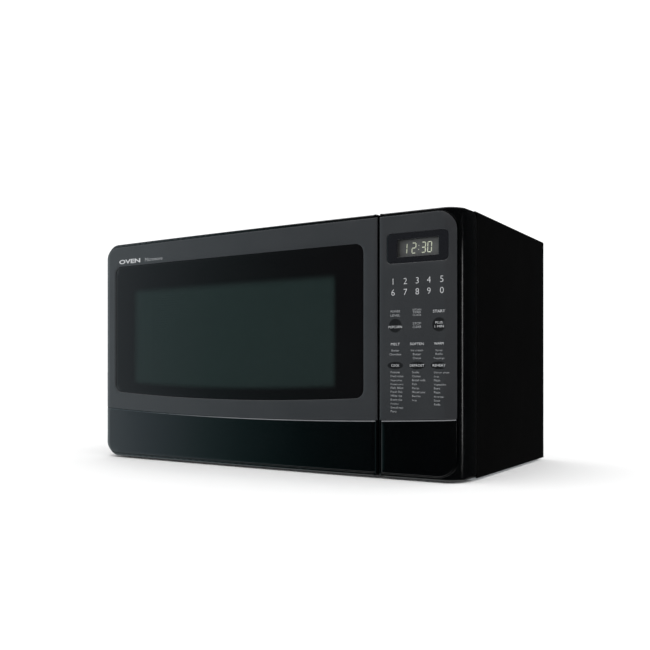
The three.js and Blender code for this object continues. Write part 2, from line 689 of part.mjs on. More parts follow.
// A switch body on the bracket's wall, its plunger towards the door.
function interlockSwitch(z) {
  const x = BRACKET.wall + 2.8;
  return union(
    box(x, x + 10.2, LEVER.y, LEVER.y + 20, z, z + 28),
    box(x + 3.2, x + 7.2, LEVER.y - 4, LEVER.y + 1, z + 6, z + 10),
  );
}

// ---------------------------------------------------------------- door

// Plan outline of the door: the bowed front, the heel round the hinge pin, and a flat back.
function doorPlan(inset) {
  const line = frontLine(inset).filter(([x, y]) => x > 0 || y < HINGE.y - 4);
  const heel = [];
  const steps = 5;
  for (let i = 0; i <= steps; i += 1) {
    const t = Math.PI / 2 + (i / steps) * (Math.PI / 2);
    heel.push([
      HINGE.x + (HEEL_R - inset) * Math.cos(t),
      HINGE.y + (HEEL_R - inset) * Math.sin(t),
    ]);
  }
  const front = line.filter(([x]) => x < 250);
  return polygon([...front, [250, CHORD_Y + inset], [250, DOOR_BACK - inset], ...heel]);
}

const hingeSlot = (z) => union(
  box(-310, HINGE.x + 8, HINGE.y - 8, -110, z, z + 7),
  box(HINGE.x - 8, HINGE.x + 8, HINGE.y - 8, -110, z, z + 7),
);

function doorFrame() {
  const radii = [DOOR_CORNER, EDGE_R, EDGE_R, DOOR_CORNER];
  const face = elevation(rounded(-HALF_W, DOOR_RIGHT, BASE_Z, TOP_Z, radii), AHEAD, 0);
  const outline = plan(doorPlan(0), BASE_Z, TOP_Z);
  const shell = easedFront(WRAP_Y).intersect(outline).intersect(face);
  const pocketRadii = [SKIN_CORNER, EDGE_R, EDGE_R, SKIN_CORNER];
  const right = DOOR_RIGHT - EDGE_R;
  const mouth = rounded(-SKIN_X - 1, right, BASE_Z + LIP - GAP, TOP_Z - LIP + GAP, pocketRadii);
  const recess = frontLayer(-10, SKIN_T + GAP).intersect(elevation(mouth, AHEAD - 1, 1));
  const hollow = behindFront(SKIN_T + GAP + WEB_T, 0, BASE_Z + WALL, TOP_Z - WALL)
    .intersect(box(-276, DOOR_RIGHT - WALL, AHEAD, 0, BASE_Z + WALL, TOP_Z - WALL));
  const opening = rounded(VIEW.x0 - 12, VIEW.x1 + 12, VIEW.z0 - 10, VIEW.z1 + 10, 10);
  const frame = cut(shell, recess, hollow, elevation(opening, AHEAD - 1, 1));
  return cut(
    frame,
    hingeSlot(12),
    hingeSlot(317),
    rod('z', HINGE.r + 0.3, 30, [HINGE.x, HINGE.y, 26], 12),
    rod('z', HINGE.r + 0.3, 30, [HINGE.x, HINGE.y, 310], 12),
  );
}

function doorFascia() {
  const face = upperSkin(-SKIN_X, DOOR_RIGHT - EDGE_R - GAP, [SKIN_CORNER, 1]);
  return frontLayer(0, SKIN_T).intersect(face).subtract(elevation(windowShape(0), AHEAD, 0));
}

function doorLowerPanel() {
  const face = lowerSkin(-SKIN_X, DOOR_RIGHT - EDGE_R - GAP, [SKIN_CORNER, 1]);
  return frontLayer(0, SKIN_T).intersect(face);
}

const doorWindow = () => frontLayer(0.7, SKIN_T).intersect(elevation(windowShape(0.4), AHEAD, 0));

const PANE = { x0: -248, x1: 150, z0: 60, z1: 272 };
const MESH = { x0: -236, x1: 138, z0: 98, z1: 264 };
const CHOKE = { front: -150, floor: -129, rear: -127.5 };

// Pressed metal frame of the microwave choke, with the opening for the perforated screen.
function chokeFrame() {
  const { front, floor, rear } = CHOKE;
  const bay = (y0, y1) => box(PANE.x0 + SHEET, PANE.x1 - SHEET, y0, y1, PANE.z0 + SHEET, PANE.z1 - SHEET);
  const outer = box(PANE.x0, PANE.x1, front, rear, PANE.z0, PANE.z1);
  const inner = bay(front - 1, floor);
  const sheet = box(-274, 172, front - SHEET, front, BASE_Z + 6, TOP_Z - 6);
  const flange = sheet.subtract(bay(front - 10, front + 10));
  const view = box(MESH.x0, MESH.x1, front - 10, rear + 7, MESH.z0, MESH.z1);
  return union(outer.subtract(inner), flange).subtract(view);
}

function doorScreen() {
  const [lap, rear] = [4, CHOKE.floor - GAP];
  return box(MESH.x0 - lap, MESH.x1 + lap, rear - 0.9, rear, MESH.z0 - lap, MESH.z1 + lap);
}

function innerPane() {
  const [lap, front] = [7, CHOKE.rear + GAP];
  return box(MESH.x0 - lap, MESH.x1 + lap, front, front + 1, MESH.z0 - lap, MESH.z1 + 3);
}

function chokeCover() {
  const ring = cut(
    box(-273, DOOR_RIGHT - WALL - GAP, -126.5, DOOR_BACK, BASE_Z + WALL + GAP, TOP_Z - WALL - GAP),
    box(PANE.x0 + 4, PANE.x1 - 4, -130, -120, PANE.z0 + 4, PANE.z1 - 4),
  );
  const slots = HOOK_Z.map((z) => box(HOOK.x0 - 1.5, HOOK.x1 + 1.5, -130, -120, z - 7, z + 18));
  return cut(ring, ...slots, box(-300, -266, -130, -120, 8, 26), box(-300, -266, -130, -120, 314, 330));
}

// Sliding latch: a bar inside the door with two barbed hooks.
function latchHead() {
  let head = box(HOOK.x0, HOOK.x1, -144, -138, 84, 262);
  for (const z of HOOK_Z) {
    head = head.add(box(HOOK.x0, HOOK.x1, -140, HOOK.tipY, z, z + 10));
    head = head.add(box(HOOK.x0, HOOK.x1, HOOK.tipY - 6, HOOK.tipY, z - 4, z + 2));
  }
  return head;
}

class Helix extends THREE.Curve {
  constructor(radius, turns, z0, z1) {
    super();
    Object.assign(this, { radius, turns, z0, z1 });
  }

  getPoint(t) {
    const angle = 2 * Math.PI * this.turns * t;
    return new THREE.Vector3(
      (HOOK.x0 + HOOK.x1) / 2 + this.radius * Math.cos(angle),
      -141 + this.radius * Math.sin(angle),
      this.z0 + (this.z1 - this.z0) * t,
    );
  }
}

const SPRING_Z = { low: 263.2, high: 292 };

function latchSpring() {
  const wire = new THREE.Shape();
  wire.absarc(0, 0, 0.7, 0, 2 * Math.PI);
  return toSolid(new THREE.ExtrudeGeometry(wire, {
    steps: 48,
    curveSegments: 3,
    extrudePath: new Helix(2.6, 6, SPRING_Z.low, SPRING_Z.high),
  }));
}

// Bracket riveted to the front plate, with the pin that the door turns on.
function hinge(plateZ, pinLow, pinHigh) {
  const inDoor = HINGE.y - 6;
  return union(
    box(HINGE.x - 5, HINGE.x + 5, inDoor, PLATE_Y - GAP, plateZ, plateZ + 3),
    box(HINGE.x - 5, HINGE.x + 5, PLATE_Y - 2 - GAP, PLATE_Y - GAP, plateZ - 1.5, plateZ + 4.5),
    rod('z', HINGE.r, pinHigh - pinLow, [HINGE.x, HINGE.y, (pinLow + pinHigh) / 2], 12),
  );
}

// ---------------------------------------------------------------- assembly

add('cabinet_shell', cabinetShell(), MAT.cabinet);
add('base_plate', basePlate(), MAT.steel);
add('rear_panel', rearPanel(), MAT.steel);
add('cord_gland', cordGland(), MAT.rubber);
FEET.forEach((at, i) => add(`foot_${i + 1}`, foot(at), MAT.rubber));
[[-290, 20], [-290, 316], [290, 316], [290, 20]].forEach(([x, z], i) => {
  add(`rear_screw_${i + 1}`, rearScrew(x, z), MAT.steel);
});

add('front_plate', frontPlate(), MAT.dark);
add('oven_cavity', ovenCavity(), MAT.enamel);
add('waveguide', waveguide(), MAT.steel);
add('waveguide_cover', waveguideCover(), MAT.mica);
add('lamp_socket', lampSocket(), MAT.white);
add('lamp_bulb', lampBulb(), MAT.clear);
add('thermostat', thermostat(), MAT.white);

add('magnetron', magnetron(), MAT.steel);
add('transformer', transformer(), MAT.copper);
add('capacitor', capacitor(), MAT.steel);
add('diode', diode(), MAT.dark);
add('filter_board', filterBoard(), MAT.board);
add('fan_shroud', fanShroud(), MAT.dark);
add('fan_motor', fanMotor(), MAT.steel);
add('fan_blade', fanBlade(), MAT.white);

add('turntable_motor', turntableMotor(), MAT.steel);
add('turntable_coupler', turntableCoupler(), MAT.white);
add('roller_ring', rollerRing(), MAT.white);
for (let i = 0; i < 3; i += 1) add(`roller_${i + 1}`, roller(i), MAT.white);
add('glass_tray', glassTray(), MAT.clear);

add('control_frame', controlFrame(), MAT.gloss);
add('control_fascia', controlFascia(), MAT.satin);
add('keypad', keypad(), MAT.satin);
add('display_window', displayWindow(), MAT.glass);
add('display_module', displayModule(), MAT.lcd);
add('control_board', controlBoard(), MAT.board);
add('open_button', openButton(), MAT.gloss);
add('release_lever', releaseLever(), MAT.white);
add('latch_bracket', latchBracket(), MAT.white);
[100, 160, 220].forEach((z, i) => add(`interlock_switch_${i + 1}`, interlockSwitch(z), MAT.dark));

add('door_frame', doorFrame(), MAT.gloss);
add('door_fascia', doorFascia(), MAT.satin);
add('door_lower_panel', doorLowerPanel(), MAT.gloss);
add('door_window', doorWindow(), MAT.glass);
add('choke_frame', chokeFrame(), MAT.dark);
add('door_screen', doorScreen(), MAT.dark);
add('inner_pane', innerPane(), MAT.clear);
add('choke_cover', chokeCover(), MAT.dark);
add('latch_head', latchHead(), MAT.white);
add('latch_spring', latchSpring(), MAT.steel);
add('hinge_lower', hinge(14, 14, 38), MAT.steel);
add('hinge_upper', hinge(319, 300, 322), MAT.steel);

export default oven;
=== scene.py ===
"""Looks of the microwave oven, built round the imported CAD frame.

Lengths are in millimetres in the row frame and become metres when a mesh is made:
+X to the right, -Y out of the front, +Z up, origin on the floor under the oven's middle.
"""
import json
import math

import bpy
import numpy as np
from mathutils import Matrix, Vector
from mathutils.geometry import delaunay_2d_cdt

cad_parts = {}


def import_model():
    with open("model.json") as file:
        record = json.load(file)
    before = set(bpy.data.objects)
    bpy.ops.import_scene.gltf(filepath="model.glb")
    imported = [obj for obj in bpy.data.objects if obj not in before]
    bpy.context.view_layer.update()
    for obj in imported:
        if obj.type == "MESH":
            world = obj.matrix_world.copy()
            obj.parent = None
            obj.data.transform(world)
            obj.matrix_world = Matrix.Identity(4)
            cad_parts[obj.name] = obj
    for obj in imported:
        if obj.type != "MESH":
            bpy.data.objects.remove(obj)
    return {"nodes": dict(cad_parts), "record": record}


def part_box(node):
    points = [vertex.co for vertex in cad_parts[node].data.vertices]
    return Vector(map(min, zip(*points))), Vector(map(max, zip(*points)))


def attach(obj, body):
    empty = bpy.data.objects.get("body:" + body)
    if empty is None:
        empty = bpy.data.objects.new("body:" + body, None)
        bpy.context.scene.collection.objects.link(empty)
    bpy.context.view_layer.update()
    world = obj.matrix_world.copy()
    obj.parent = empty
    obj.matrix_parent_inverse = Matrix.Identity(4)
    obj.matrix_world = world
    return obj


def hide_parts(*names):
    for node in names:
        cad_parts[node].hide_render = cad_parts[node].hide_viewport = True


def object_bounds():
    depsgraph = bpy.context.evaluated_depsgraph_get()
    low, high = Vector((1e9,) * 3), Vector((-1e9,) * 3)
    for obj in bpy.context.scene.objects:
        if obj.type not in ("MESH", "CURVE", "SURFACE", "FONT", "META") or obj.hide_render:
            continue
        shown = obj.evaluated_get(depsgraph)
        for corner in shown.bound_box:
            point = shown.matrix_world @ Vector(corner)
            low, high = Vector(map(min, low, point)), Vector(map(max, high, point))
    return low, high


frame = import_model()
cad_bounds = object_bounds()

MM = 0.001
NODES = frame["nodes"]


def cad(node):
    """Lowest and highest corner of a CAD node, in millimetres."""
    low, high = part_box(node)
    return low / MM, high / MM


class Box:
    """A rectangle seen from the front."""

    def __init__(self, x0, x1, z0, z1):
        self.x0, self.x1, self.z0, self.z1 = x0, x1, z0, z1


# ---- sizes, from the frame

SHELL_LO, SHELL_HI = cad("cabinet_shell")
HALF_W = SHELL_HI.x
BASE_Z, TOP_Z = SHELL_LO.z, SHELL_HI.z
WRAP_Y = SHELL_LO.y
BOW = 5.0
END_X, END_Y = 25.0, 45.0
CHORD_Y = cad_bounds[0].y / MM + BOW
FLAT_HALF = HALF_W - END_X

DOOR_RIGHT = cad("door_frame")[1].x
DOOR_BACK = cad("door_frame")[1].y
PANEL_LEFT = cad("control_frame")[0].x
SKIN_X = cad("open_button")[1].x
SKIN_LOW, SKIN_TOP = cad("open_button")[0].z, cad("control_fascia")[1].z
SKIN_MID = (SKIN_LOW + SKIN_TOP) / 2
SKIN_T = 2.6
LIP = TOP_Z - SKIN_TOP
PANEL_CORNER = (21.0, 21.0)     # rounded corners, along X and Z
PANEL_END = (6.0, 6.0)
DOOR_CORNER = (42.0, 21.0)
SKIN_CORNER = (DOOR_CORNER[0] - HALF_W + SKIN_X, DOOR_CORNER[1] - LIP)
SEAM_Z, SEAM_RISE = 70.0, 7.5

WINDOW_LO, WINDOW_HI = cad("door_window")
WINDOW = dict(x0=WINDOW_LO.x, x1=WINDOW_HI.x, top=WINDOW_HI.z, bottom=94.9, rise=6.5, r=12.0)
WINDOW_MID, WINDOW_REACH = -30.0, 210.0     # lowest place of its lower edge, and half its width
VIEW = Box(-219.0, 130.0, 110.0, 255.0)     # where the cavity shows through the pane
PANE_LO, PANE_HI = cad("display_window")
LCD = Box(219.6, 273.7, 276.7, 298.2)
HINGE_X, HINGE_Y, HEEL_R = -291.5, -135.0, 12.0
HAIRLINE = 0.35


def seam_at(x):
    return SEAM_Z + SEAM_RISE * (x / SKIN_X) ** 2


def window_floor(x):
    return WINDOW["bottom"] + WINDOW["rise"] * ((x - WINDOW_MID) / WINDOW_REACH) ** 2


# ---- plan lines of the front

def arc(cx, cy, rx, ry, start, end, steps):
    """Points of an elliptical arc, angles in degrees."""
    angles = np.radians(np.linspace(start, end, steps + 1))
    return np.stack([cx + rx * np.cos(angles), cy + ry * np.sin(angles)], 1)


def bow_line(x0, x1, step=4.0):
    x = np.linspace(x0, x1, max(2, int(abs(x1 - x0) / step) + 1))
    return np.stack([x, CHORD_Y - BOW * (1 - (x / FLAT_HALF) ** 2)], 1)


def bow_at(x):
    return CHORD_Y - BOW * (1 - (x / FLAT_HALF) ** 2)


class PlanLine:
    """A line in plan, from left to right seen from the front, that surfaces are built on."""

    def __init__(self, *parts, keep=None):
        points = np.concatenate(parts)
        step = np.linalg.norm(np.diff(points, axis=0), axis=1)
        points = points[np.concatenate([[True], step > 1e-4])]
        step = np.linalg.norm(np.diff(points, axis=0), axis=1)
        self.points = points
        self.u = np.concatenate([[0.0], np.cumsum(step)])
        along = np.gradient(points, self.u, axis=0)
        along /= np.linalg.norm(along, axis=1)[:, None]
        self.normals = np.stack([along[:, 1], -along[:, 0]], 1)
        self.limit = np.full(len(points), 1e3)
        if keep:
            keep(self)

    def at(self, u, inset):
        """Plan position at length u, moved inwards by inset."""
        x = np.interp(u, self.u, self.points[:, 0])
        y = np.interp(u, self.u, self.points[:, 1])
        nx = np.interp(u, self.u, self.normals[:, 0])
        ny = np.interp(u, self.u, self.normals[:, 1])
        inset = np.minimum(inset, np.interp(u, self.u, self.limit))
        return x - nx * inset, y - ny * inset

    def u_at(self, x):
        """Length along the line at a given X, on the stretch that runs across the front."""
        first = int(np.argmin(self.points[:, 0]))
        last = int(np.argmax(self.points[:, 0]))
        return np.interp(x, self.points[first:last + 1, 0], self.u[first:last + 1])


LEFT_END = arc(-FLAT_HALF, CHORD_Y + END_Y, END_X, END_Y, 180, 270, 48)
RIGHT_END = arc(FLAT_HALF, CHORD_Y + END_Y, END_X, END_Y, 270, 360, 48)
FRONT = PlanLine(LEFT_END, bow_line(-FLAT_HALF, FLAT_HALF), RIGHT_END)


# ---- mesh helpers

def placed(name, data):
    """A new object in the scene."""
    obj = bpy.data.objects.new(name, data)
    bpy.context.scene.collection.objects.link(obj)
    return obj


def make(name, verts, faces, body, material, replaces=(), smooth=35.0):
    """A mesh piece from points in millimetres."""
    mesh = bpy.data.meshes.new(name)
    mesh.from_pydata([tuple(float(c) * MM for c in v) for v in verts], [], faces)
    mesh.validate()
    mesh.update()
    mesh.materials.append(material)
    if smooth:
        mesh.polygons.foreach_set("use_smooth", [True] * len(mesh.polygons))
        mesh.set_sharp_from_angle(angle=math.radians(smooth))
    obj = placed(name, mesh)
    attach(obj, body)
    if replaces:
        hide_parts(*replaces)
    return obj


def thicken(obj, thickness):
    """Gives an open skin a wall on its inner side."""
    mod = obj.modifiers.new("wall", "SOLIDIFY")
    mod.thickness = thickness * MM
    mod.offset = -1
    mod.thickness_clamp = 2.0


def bevel(obj, width):
    mod = obj.modifiers.new("eased", "BEVEL")
    mod.width = width * MM
    mod.segments = 2
    mod.limit_method = "ANGLE"
    mod.angle_limit = math.radians(40.0)
    mod.harden_normals = False


def loop_normals(loop):
    """Outward unit normals of a closed loop that keeps its material on its left."""
    nxt, prv = np.roll(loop, -1, 0), np.roll(loop, 1, 0)
    first, second = loop - prv, nxt - loop
    first /= np.linalg.norm(first, axis=1)[:, None] + 1e-12
    second /= np.linalg.norm(second, axis=1)[:, None] + 1e-12
    along = first + second
    along /= np.linalg.norm(along, axis=1)[:, None] + 1e-12
    return np.stack([along[:, 1], -along[:, 0]], 1)


def inside(points, loop):
    """Which points lie inside a closed loop."""
    x, y = points[:, 0][:, None], points[:, 1][:, None]
    x1, y1 = loop[:, 0][None], loop[:, 1][None]
    x2, y2 = np.roll(loop[:, 0], -1)[None], np.roll(loop[:, 1], -1)[None]
    crosses = (y1 > y) != (y2 > y)
    at = x1 + (y - y1) * (x2 - x1) / np.where(y2 == y1, 1e-12, y2 - y1)
    return (np.sum(crosses & (x < at), 1) % 2).astype(bool)


def distance_to(points, loop):
    best = np.full(len(points), 1e9)
    for a, b in zip(loop, np.roll(loop, -1, 0)):
        along = b - a
        t = np.clip(((points - a) @ along) / (along @ along + 1e-12), 0, 1)
        best = np.minimum(best, np.linalg.norm(points - a - t[:, None] * along, axis=1))
    return best


def fill(outer, holes, us, vs, clear=1.0):
    """Triangles of the flat region between loops, with grid points inside it."""
    grid = np.array([(u, v) for u in us for v in vs], float)
    if len(grid):
        ok = inside(grid, outer) & (distance_to(grid, outer) > clear)
        for hole in holes:
            ok &= ~inside(grid, hole) & (distance_to(grid, hole) > clear)
        grid = grid[ok]
    loops = [outer, *holes]
    verts = np.concatenate([*loops, grid]) if len(grid) else np.concatenate(loops)
    edges, start = [], 0
    for loop in loops:
        count = len(loop)
        edges += [(start + i, start + (i + 1) % count) for i in range(count)]
        start += count
    result = delaunay_2d_cdt([Vector(v) for v in verts], edges, [], 0, 1e-5)
    points = np.array([tuple(v) for v in result[0]])
    tris = [tuple(t) for t in result[2]]
    middle = np.array([points[list(t)].mean(0) for t in tris])
    keep = inside(middle, outer)
    for hole in holes:
        keep &= ~inside(middle, hole)
    source = {}
    for index, olds in enumerate(result[3]):
        for old in olds:
            source[old] = index
    return points, [t for t, k in zip(tris, keep) if k], source


class Skin:
    """A surface map: line in plan, plus rounding at the top and bottom edges."""

    def __init__(self, line, ease=0.0, corners=None):
        self.line, self.ease, self.corners = line, ease, corners
        self.quarter = ease * math.pi / 2
        self.v0 = BASE_Z + ease - self.quarter
        self.v1 = TOP_Z - ease + self.quarter

    def point(self, u, v, depth):
        low_edge, top_edge = BASE_Z + self.ease, TOP_Z - self.ease
        turn = 0.0
        z = v
        if self.ease and v < low_edge:
            turn = min((low_edge - v) / self.ease, math.pi / 2)
            z = low_edge - self.ease * math.sin(turn)
        elif self.ease and v > top_edge:
            turn = min((v - top_edge) / self.ease, math.pi / 2)
            z = top_edge + self.ease * math.sin(turn)
        x, y = self.line.at(u, depth * math.cos(turn) + self.ease * (1 - math.cos(turn)))
        if self.corners:
            x = self.corners.draw_in(x, z)
        return float(x), float(y), float(z)

    def uv(self, loop, step=6.0):
        """An outline in (X, Z) as a finely stepped loop in (u, v)."""
        loop = refine(loop, step)
        x = self.corners.undo(loop[:, 0], loop[:, 1]) if self.corners else loop[:, 0]
        return np.stack([self.line.u_at(x), loop[:, 1]], 1)

    def rows(self, low, high, step):
        """Heights of the grid rows, close together where the end corners turn."""
        near = 1.5 if self.corners else step
        turn = self.corners.high + 3 if self.corners else 0
        out = [low + near / 2]
        while out[-1] < high:
            z = out[-1]
            out.append(z + (near if min(z - BASE_Z, TOP_Z - z) < turn else step))
        return np.array(out[:-1])


class EndCorners:
    """Rounds the corners of one end in front view, as X drawn in towards the middle."""

    def __init__(self, sign, wide, high):
        self.sign, self.start, self.high = sign, HALF_W - wide, high

    def keep(self, z):
        short = np.clip(1 - np.minimum(z - BASE_Z, TOP_Z - z) / self.high, 0, 1)
        return np.maximum(np.sqrt(1 - short ** 2), 0.02)

    def draw_in(self, x, z):
        out = self.sign * x - self.start
        return self.sign * (self.start + np.where(out > 0, out * self.keep(z), out))

    def undo(self, x, z):
        out = self.sign * x - self.start
        return self.sign * (self.start + np.where(out > 0, out / self.keep(z), out))


def grid_u(line, u0, u1):
    """Grid columns: the line's own points, close together where it turns."""
    return line.u[(line.u > u0) & (line.u < u1)]


def plate(name, surface, outer, holes, depth, thick, edge_r, body, material, replaces=(),
          rows=9.0, steps=3):
    """A sheet that follows a surface, with its front edges rounded.

    outer and holes are loops in (u, v). depth is how far its face lies inside the surface.
    """
    loops = [outer, *holes]
    normals = [loop_normals(loop) for loop in loops]
    inner = [loop - n * edge_r for loop, n in zip(loops, normals)]
    us = grid_u(surface.line, outer[:, 0].min(), outer[:, 0].max())
    vs = surface.rows(outer[:, 1].min(), outer[:, 1].max(), rows)
    flat, tris, source = fill(inner[0], inner[1:], us, vs)
    verts = [surface.point(u, v, depth) for u, v in flat]
    faces = [t if area2(flat, t) > 0 else t[::-1] for t in tris]
    back = len(verts)
    verts += [surface.point(u, v, depth + thick) for u, v in flat]
    faces += [tuple(back + i for i in reversed(t)) for t in faces]
    start = 0
    for loop, n in zip(loops, normals):
        count = len(loop)
        rings = [[source[start + i] for i in range(count)]]
        for k in range(1, steps + 1):
            turn = k / steps * math.pi / 2
            across = edge_r * (1 - math.sin(turn))
            down = edge_r * (1 - math.cos(turn))
            rings.append(ring(verts, surface, loop - n * across, depth + down))
        rings.append(ring(verts, surface, loop, depth + thick))
        rings.append([back + source[start + i] for i in range(count)])
        for a, b in zip(rings, rings[1:]):
            faces += [(a[i], b[i], b[(i + 1) % count], a[(i + 1) % count]) for i in range(count)]
        start += count
    make(name, verts, faces, body, material, replaces)


def area2(points, tri):
    a, b, c = (points[i] for i in tri)
    return (b[0] - a[0]) * (c[1] - a[1]) - (b[1] - a[1]) * (c[0] - a[0])


def ring(verts, surface, loop, depth):
    first = len(verts)
    verts += [surface.point(u, v, depth) for u, v in loop]
    return list(range(first, len(verts)))


# ---- outlines in (X, Z)

def refine(points, step):
    """Adds points so that no stretch of a closed outline is longer than step."""
    points = np.array(points, float)
    out = []
    for a, b in zip(points, np.roll(points, -1, 0)):
        count = max(1, int(math.ceil(np.linalg.norm(b - a) / step)))
        out += [a + (b - a) * i / count for i in range(count)]
    return np.array(out)


def rounded(x0, x1, z0, z1, radii, steps=10):
    """Rounded rectangle, anticlockwise from its lower left corner, as are its radii."""
    radii = radii if isinstance(radii, list) else [radii] * 4
    corners = [(x0, z0, 1, 1, 180), (x1, z0, -1, 1, 270), (x1, z1, -1, -1, 0), (x0, z1, 1, -1, 90)]
    parts = []
    for (x, z, in_x, in_z, start), radius in zip(corners, radii):
        rx, rz = radius if isinstance(radius, tuple) else (radius, radius)
        if rx:
            parts.append(arc(x + in_x * rx, z + in_z * rz, rx, rz, start, start + 90, steps))
        else:
            parts.append(np.array([[x, z]], float))
    return np.concatenate(parts)


def window_outline(margin=0.0, steps=10):
    r = WINDOW["r"] - margin
    x0, x1 = WINDOW["x0"] + margin, WINDOW["x1"] - margin
    top = WINDOW["top"] - margin
    floor_x = np.linspace(x0 + r, x1 - r, 40)
    floor = np.stack([floor_x, [window_floor(x) + margin for x in floor_x]], 1)
    lean = math.degrees(math.atan(2 * WINDOW["rise"] * (x1 - r - WINDOW_MID) / WINDOW_REACH ** 2))
    left_z, right_z = floor[0, 1] + r, floor[-1, 1] + r
    return np.concatenate([
        floor[1:-1],
        arc(x1 - r, right_z, r, r, 270 + lean, 360, steps),
        arc(x1 - r, top - r, r, r, 0, 90, steps),
        arc(x0 + r, top - r, r, r, 90, 180, steps),
        arc(x0 + r, left_z, r, r, 180, 270 - lean, steps),
    ])


def seam_line(x0, x1, shift):
    """Points of the seam, moved up by shift."""
    xs = np.linspace(x0, x1, 60)
    return np.stack([xs, [seam_at(x) + shift for x in xs]], 1)


def above_seam(x0, x1, radii):
    """Outline of a satin skin, with its lower edge on the seam."""
    outline = rounded(x0, x1, SKIN_LOW, SKIN_TOP, radii)
    return np.concatenate([seam_line(x0, x1, HAIRLINE), outline[outline[:, 1] > SKIN_MID]])


def below_seam(x0, x1, radii):
    """Outline of a glossy skin, with its upper edge on the seam."""
    outline = rounded(x0, x1, SKIN_LOW, SKIN_TOP, radii)
    return np.concatenate([outline[outline[:, 1] < SKIN_MID], seam_line(x1, x0, -HAIRLINE)])


# ---- materials

class Graph:
    """A node tree, built step by step. A value is a number, a colour or another node's socket."""

    def __init__(self, tree):
        self.tree = tree

    def node(self, kind, **values):
        node = self.tree.nodes.new(kind)
        for key, value in values.items():
            if hasattr(node, key) and key not in node.inputs:
                setattr(node, key, value)
            else:
                node.inputs[key].default_value = value
        return node

    def put(self, socket, value):
        if isinstance(value, bpy.types.NodeSocket):
            self.tree.links.new(value, socket)
        else:
            socket.default_value = value

    def axes(self, source):
        xyz = self.node("ShaderNodeSeparateXYZ")
        self.put(xyz.inputs[0], source)
        return xyz.outputs

    def math(self, operation, first, second):
        node = self.node("ShaderNodeMath", operation=operation)
        self.put(node.inputs[0], first)
        self.put(node.inputs[1], second)
        return node.outputs[0]

    def ramp(self, value, low, high, at=(0.35, 0.65), kind="LINEAR"):
        """Maps the range at onto low..high."""
        node = self.node("ShaderNodeMapRange", interpolation_type=kind)
        self.put(node.inputs["Value"], value)
        for key, number in zip(("From Min", "From Max", "To Min", "To Max"), (*at, low, high)):
            node.inputs[key].default_value = number
        return node.outputs["Result"]

    def mix(self, share, first, second, blend="MIX"):
        node = self.node("ShaderNodeMix", data_type="RGBA", blend_type=blend)
        for index, value in zip((0, 6, 7), (share, first, second)):
            self.put(node.inputs[index], value)
        return node.outputs[2]


class Shader(Graph):
    """A Principled material with its node graph."""

    def __init__(self, name, color, rough, **sockets):
        self.mat = bpy.data.materials.new(name)
        self.mat.use_nodes = True
        super().__init__(self.mat.node_tree)
        self.bsdf = self.tree.nodes["Principled BSDF"]
        self.set("Base Color", (*color, 1.0))
        self.set("Roughness", rough)
        for key, value in sockets.items():
            self.set(key.replace("_", " "), value)
        self.coords = self.node("ShaderNodeTexCoord").outputs["Object"]

    def set(self, key, value):
        self.put(self.bsdf.inputs[key], value)

    def fade(self, length, start, end):
        """0 at start and 1 at end, both in millimetres along an object coordinate."""
        ends = (0.0, 1.0) if start < end else (1.0, 0.0)
        return self.ramp(length, *ends, (min(start, end) * MM, max(start, end) * MM), "SMOOTHSTEP")

    def noise(self, scale, detail=3.0, stretch=(1, 1, 1)):
        """Noise over the object coordinates, stretched per axis."""
        mapping = self.node("ShaderNodeMapping", Scale=stretch)
        self.put(mapping.inputs["Vector"], self.coords)
        node = self.node("ShaderNodeTexNoise", Scale=scale, Detail=detail)
        self.put(node.inputs["Vector"], mapping.outputs["Vector"])
        return node.outputs["Fac"]

    def vary_rough(self, scale, low, high):
        self.set("Roughness", self.ramp(self.noise(scale, 4.0), low, high))

    def blend(self, share, first, second):
        """Base colour from first to second."""
        self.set("Base Color", self.mix(share, (*first, 1), (*second, 1)))

    def vary_color(self, scale, first, second, stretch=(1, 1, 1), at=(0.35, 0.65)):
        self.blend(self.ramp(self.noise(scale, 4.0, stretch), 0, 1, at), first, second)

    def bump(self, height, strength, distance):
        node = self.node("ShaderNodeBump", Strength=strength, Distance=distance * MM)
        self.put(node.inputs["Height"], height)
        self.set("Normal", node.outputs["Normal"])


def finish(name, color, rough, tints=None, gloss=None, grain=None, **sockets):
    """A plain finish that varies a little over the surface.

    tints and gloss are the arguments of vary_color and vary_rough. grain is the size, detail,
    strength and depth of a fine bump.
    """
    s = Shader(name, color, rough, **sockets)
    if tints:
        s.vary_color(*tints)
    if gloss:
        s.vary_rough(*gloss)
    if grain:
        scale, detail, strength, depth = grain
        s.bump(s.noise(scale, detail), strength, depth)
    return s.mat


def painted_highlight_edge(start, end, dull, bright):
    """A polished edge with a painted highlight in its colour, which grows brighter between two places
    along X, in millimetres.
    """
    s = Shader("painted_highlight_edge", (0.1, 0.1, 0.1), 0.3, IOR=1.5)
    # Painted highlight: the base colour ramps from dull to bright along X.
    s.blend(s.fade(s.axes(s.coords)["X"], start, end), dull, bright)
    s.vary_rough(30.0, 0.26, 0.36)
    return s.mat


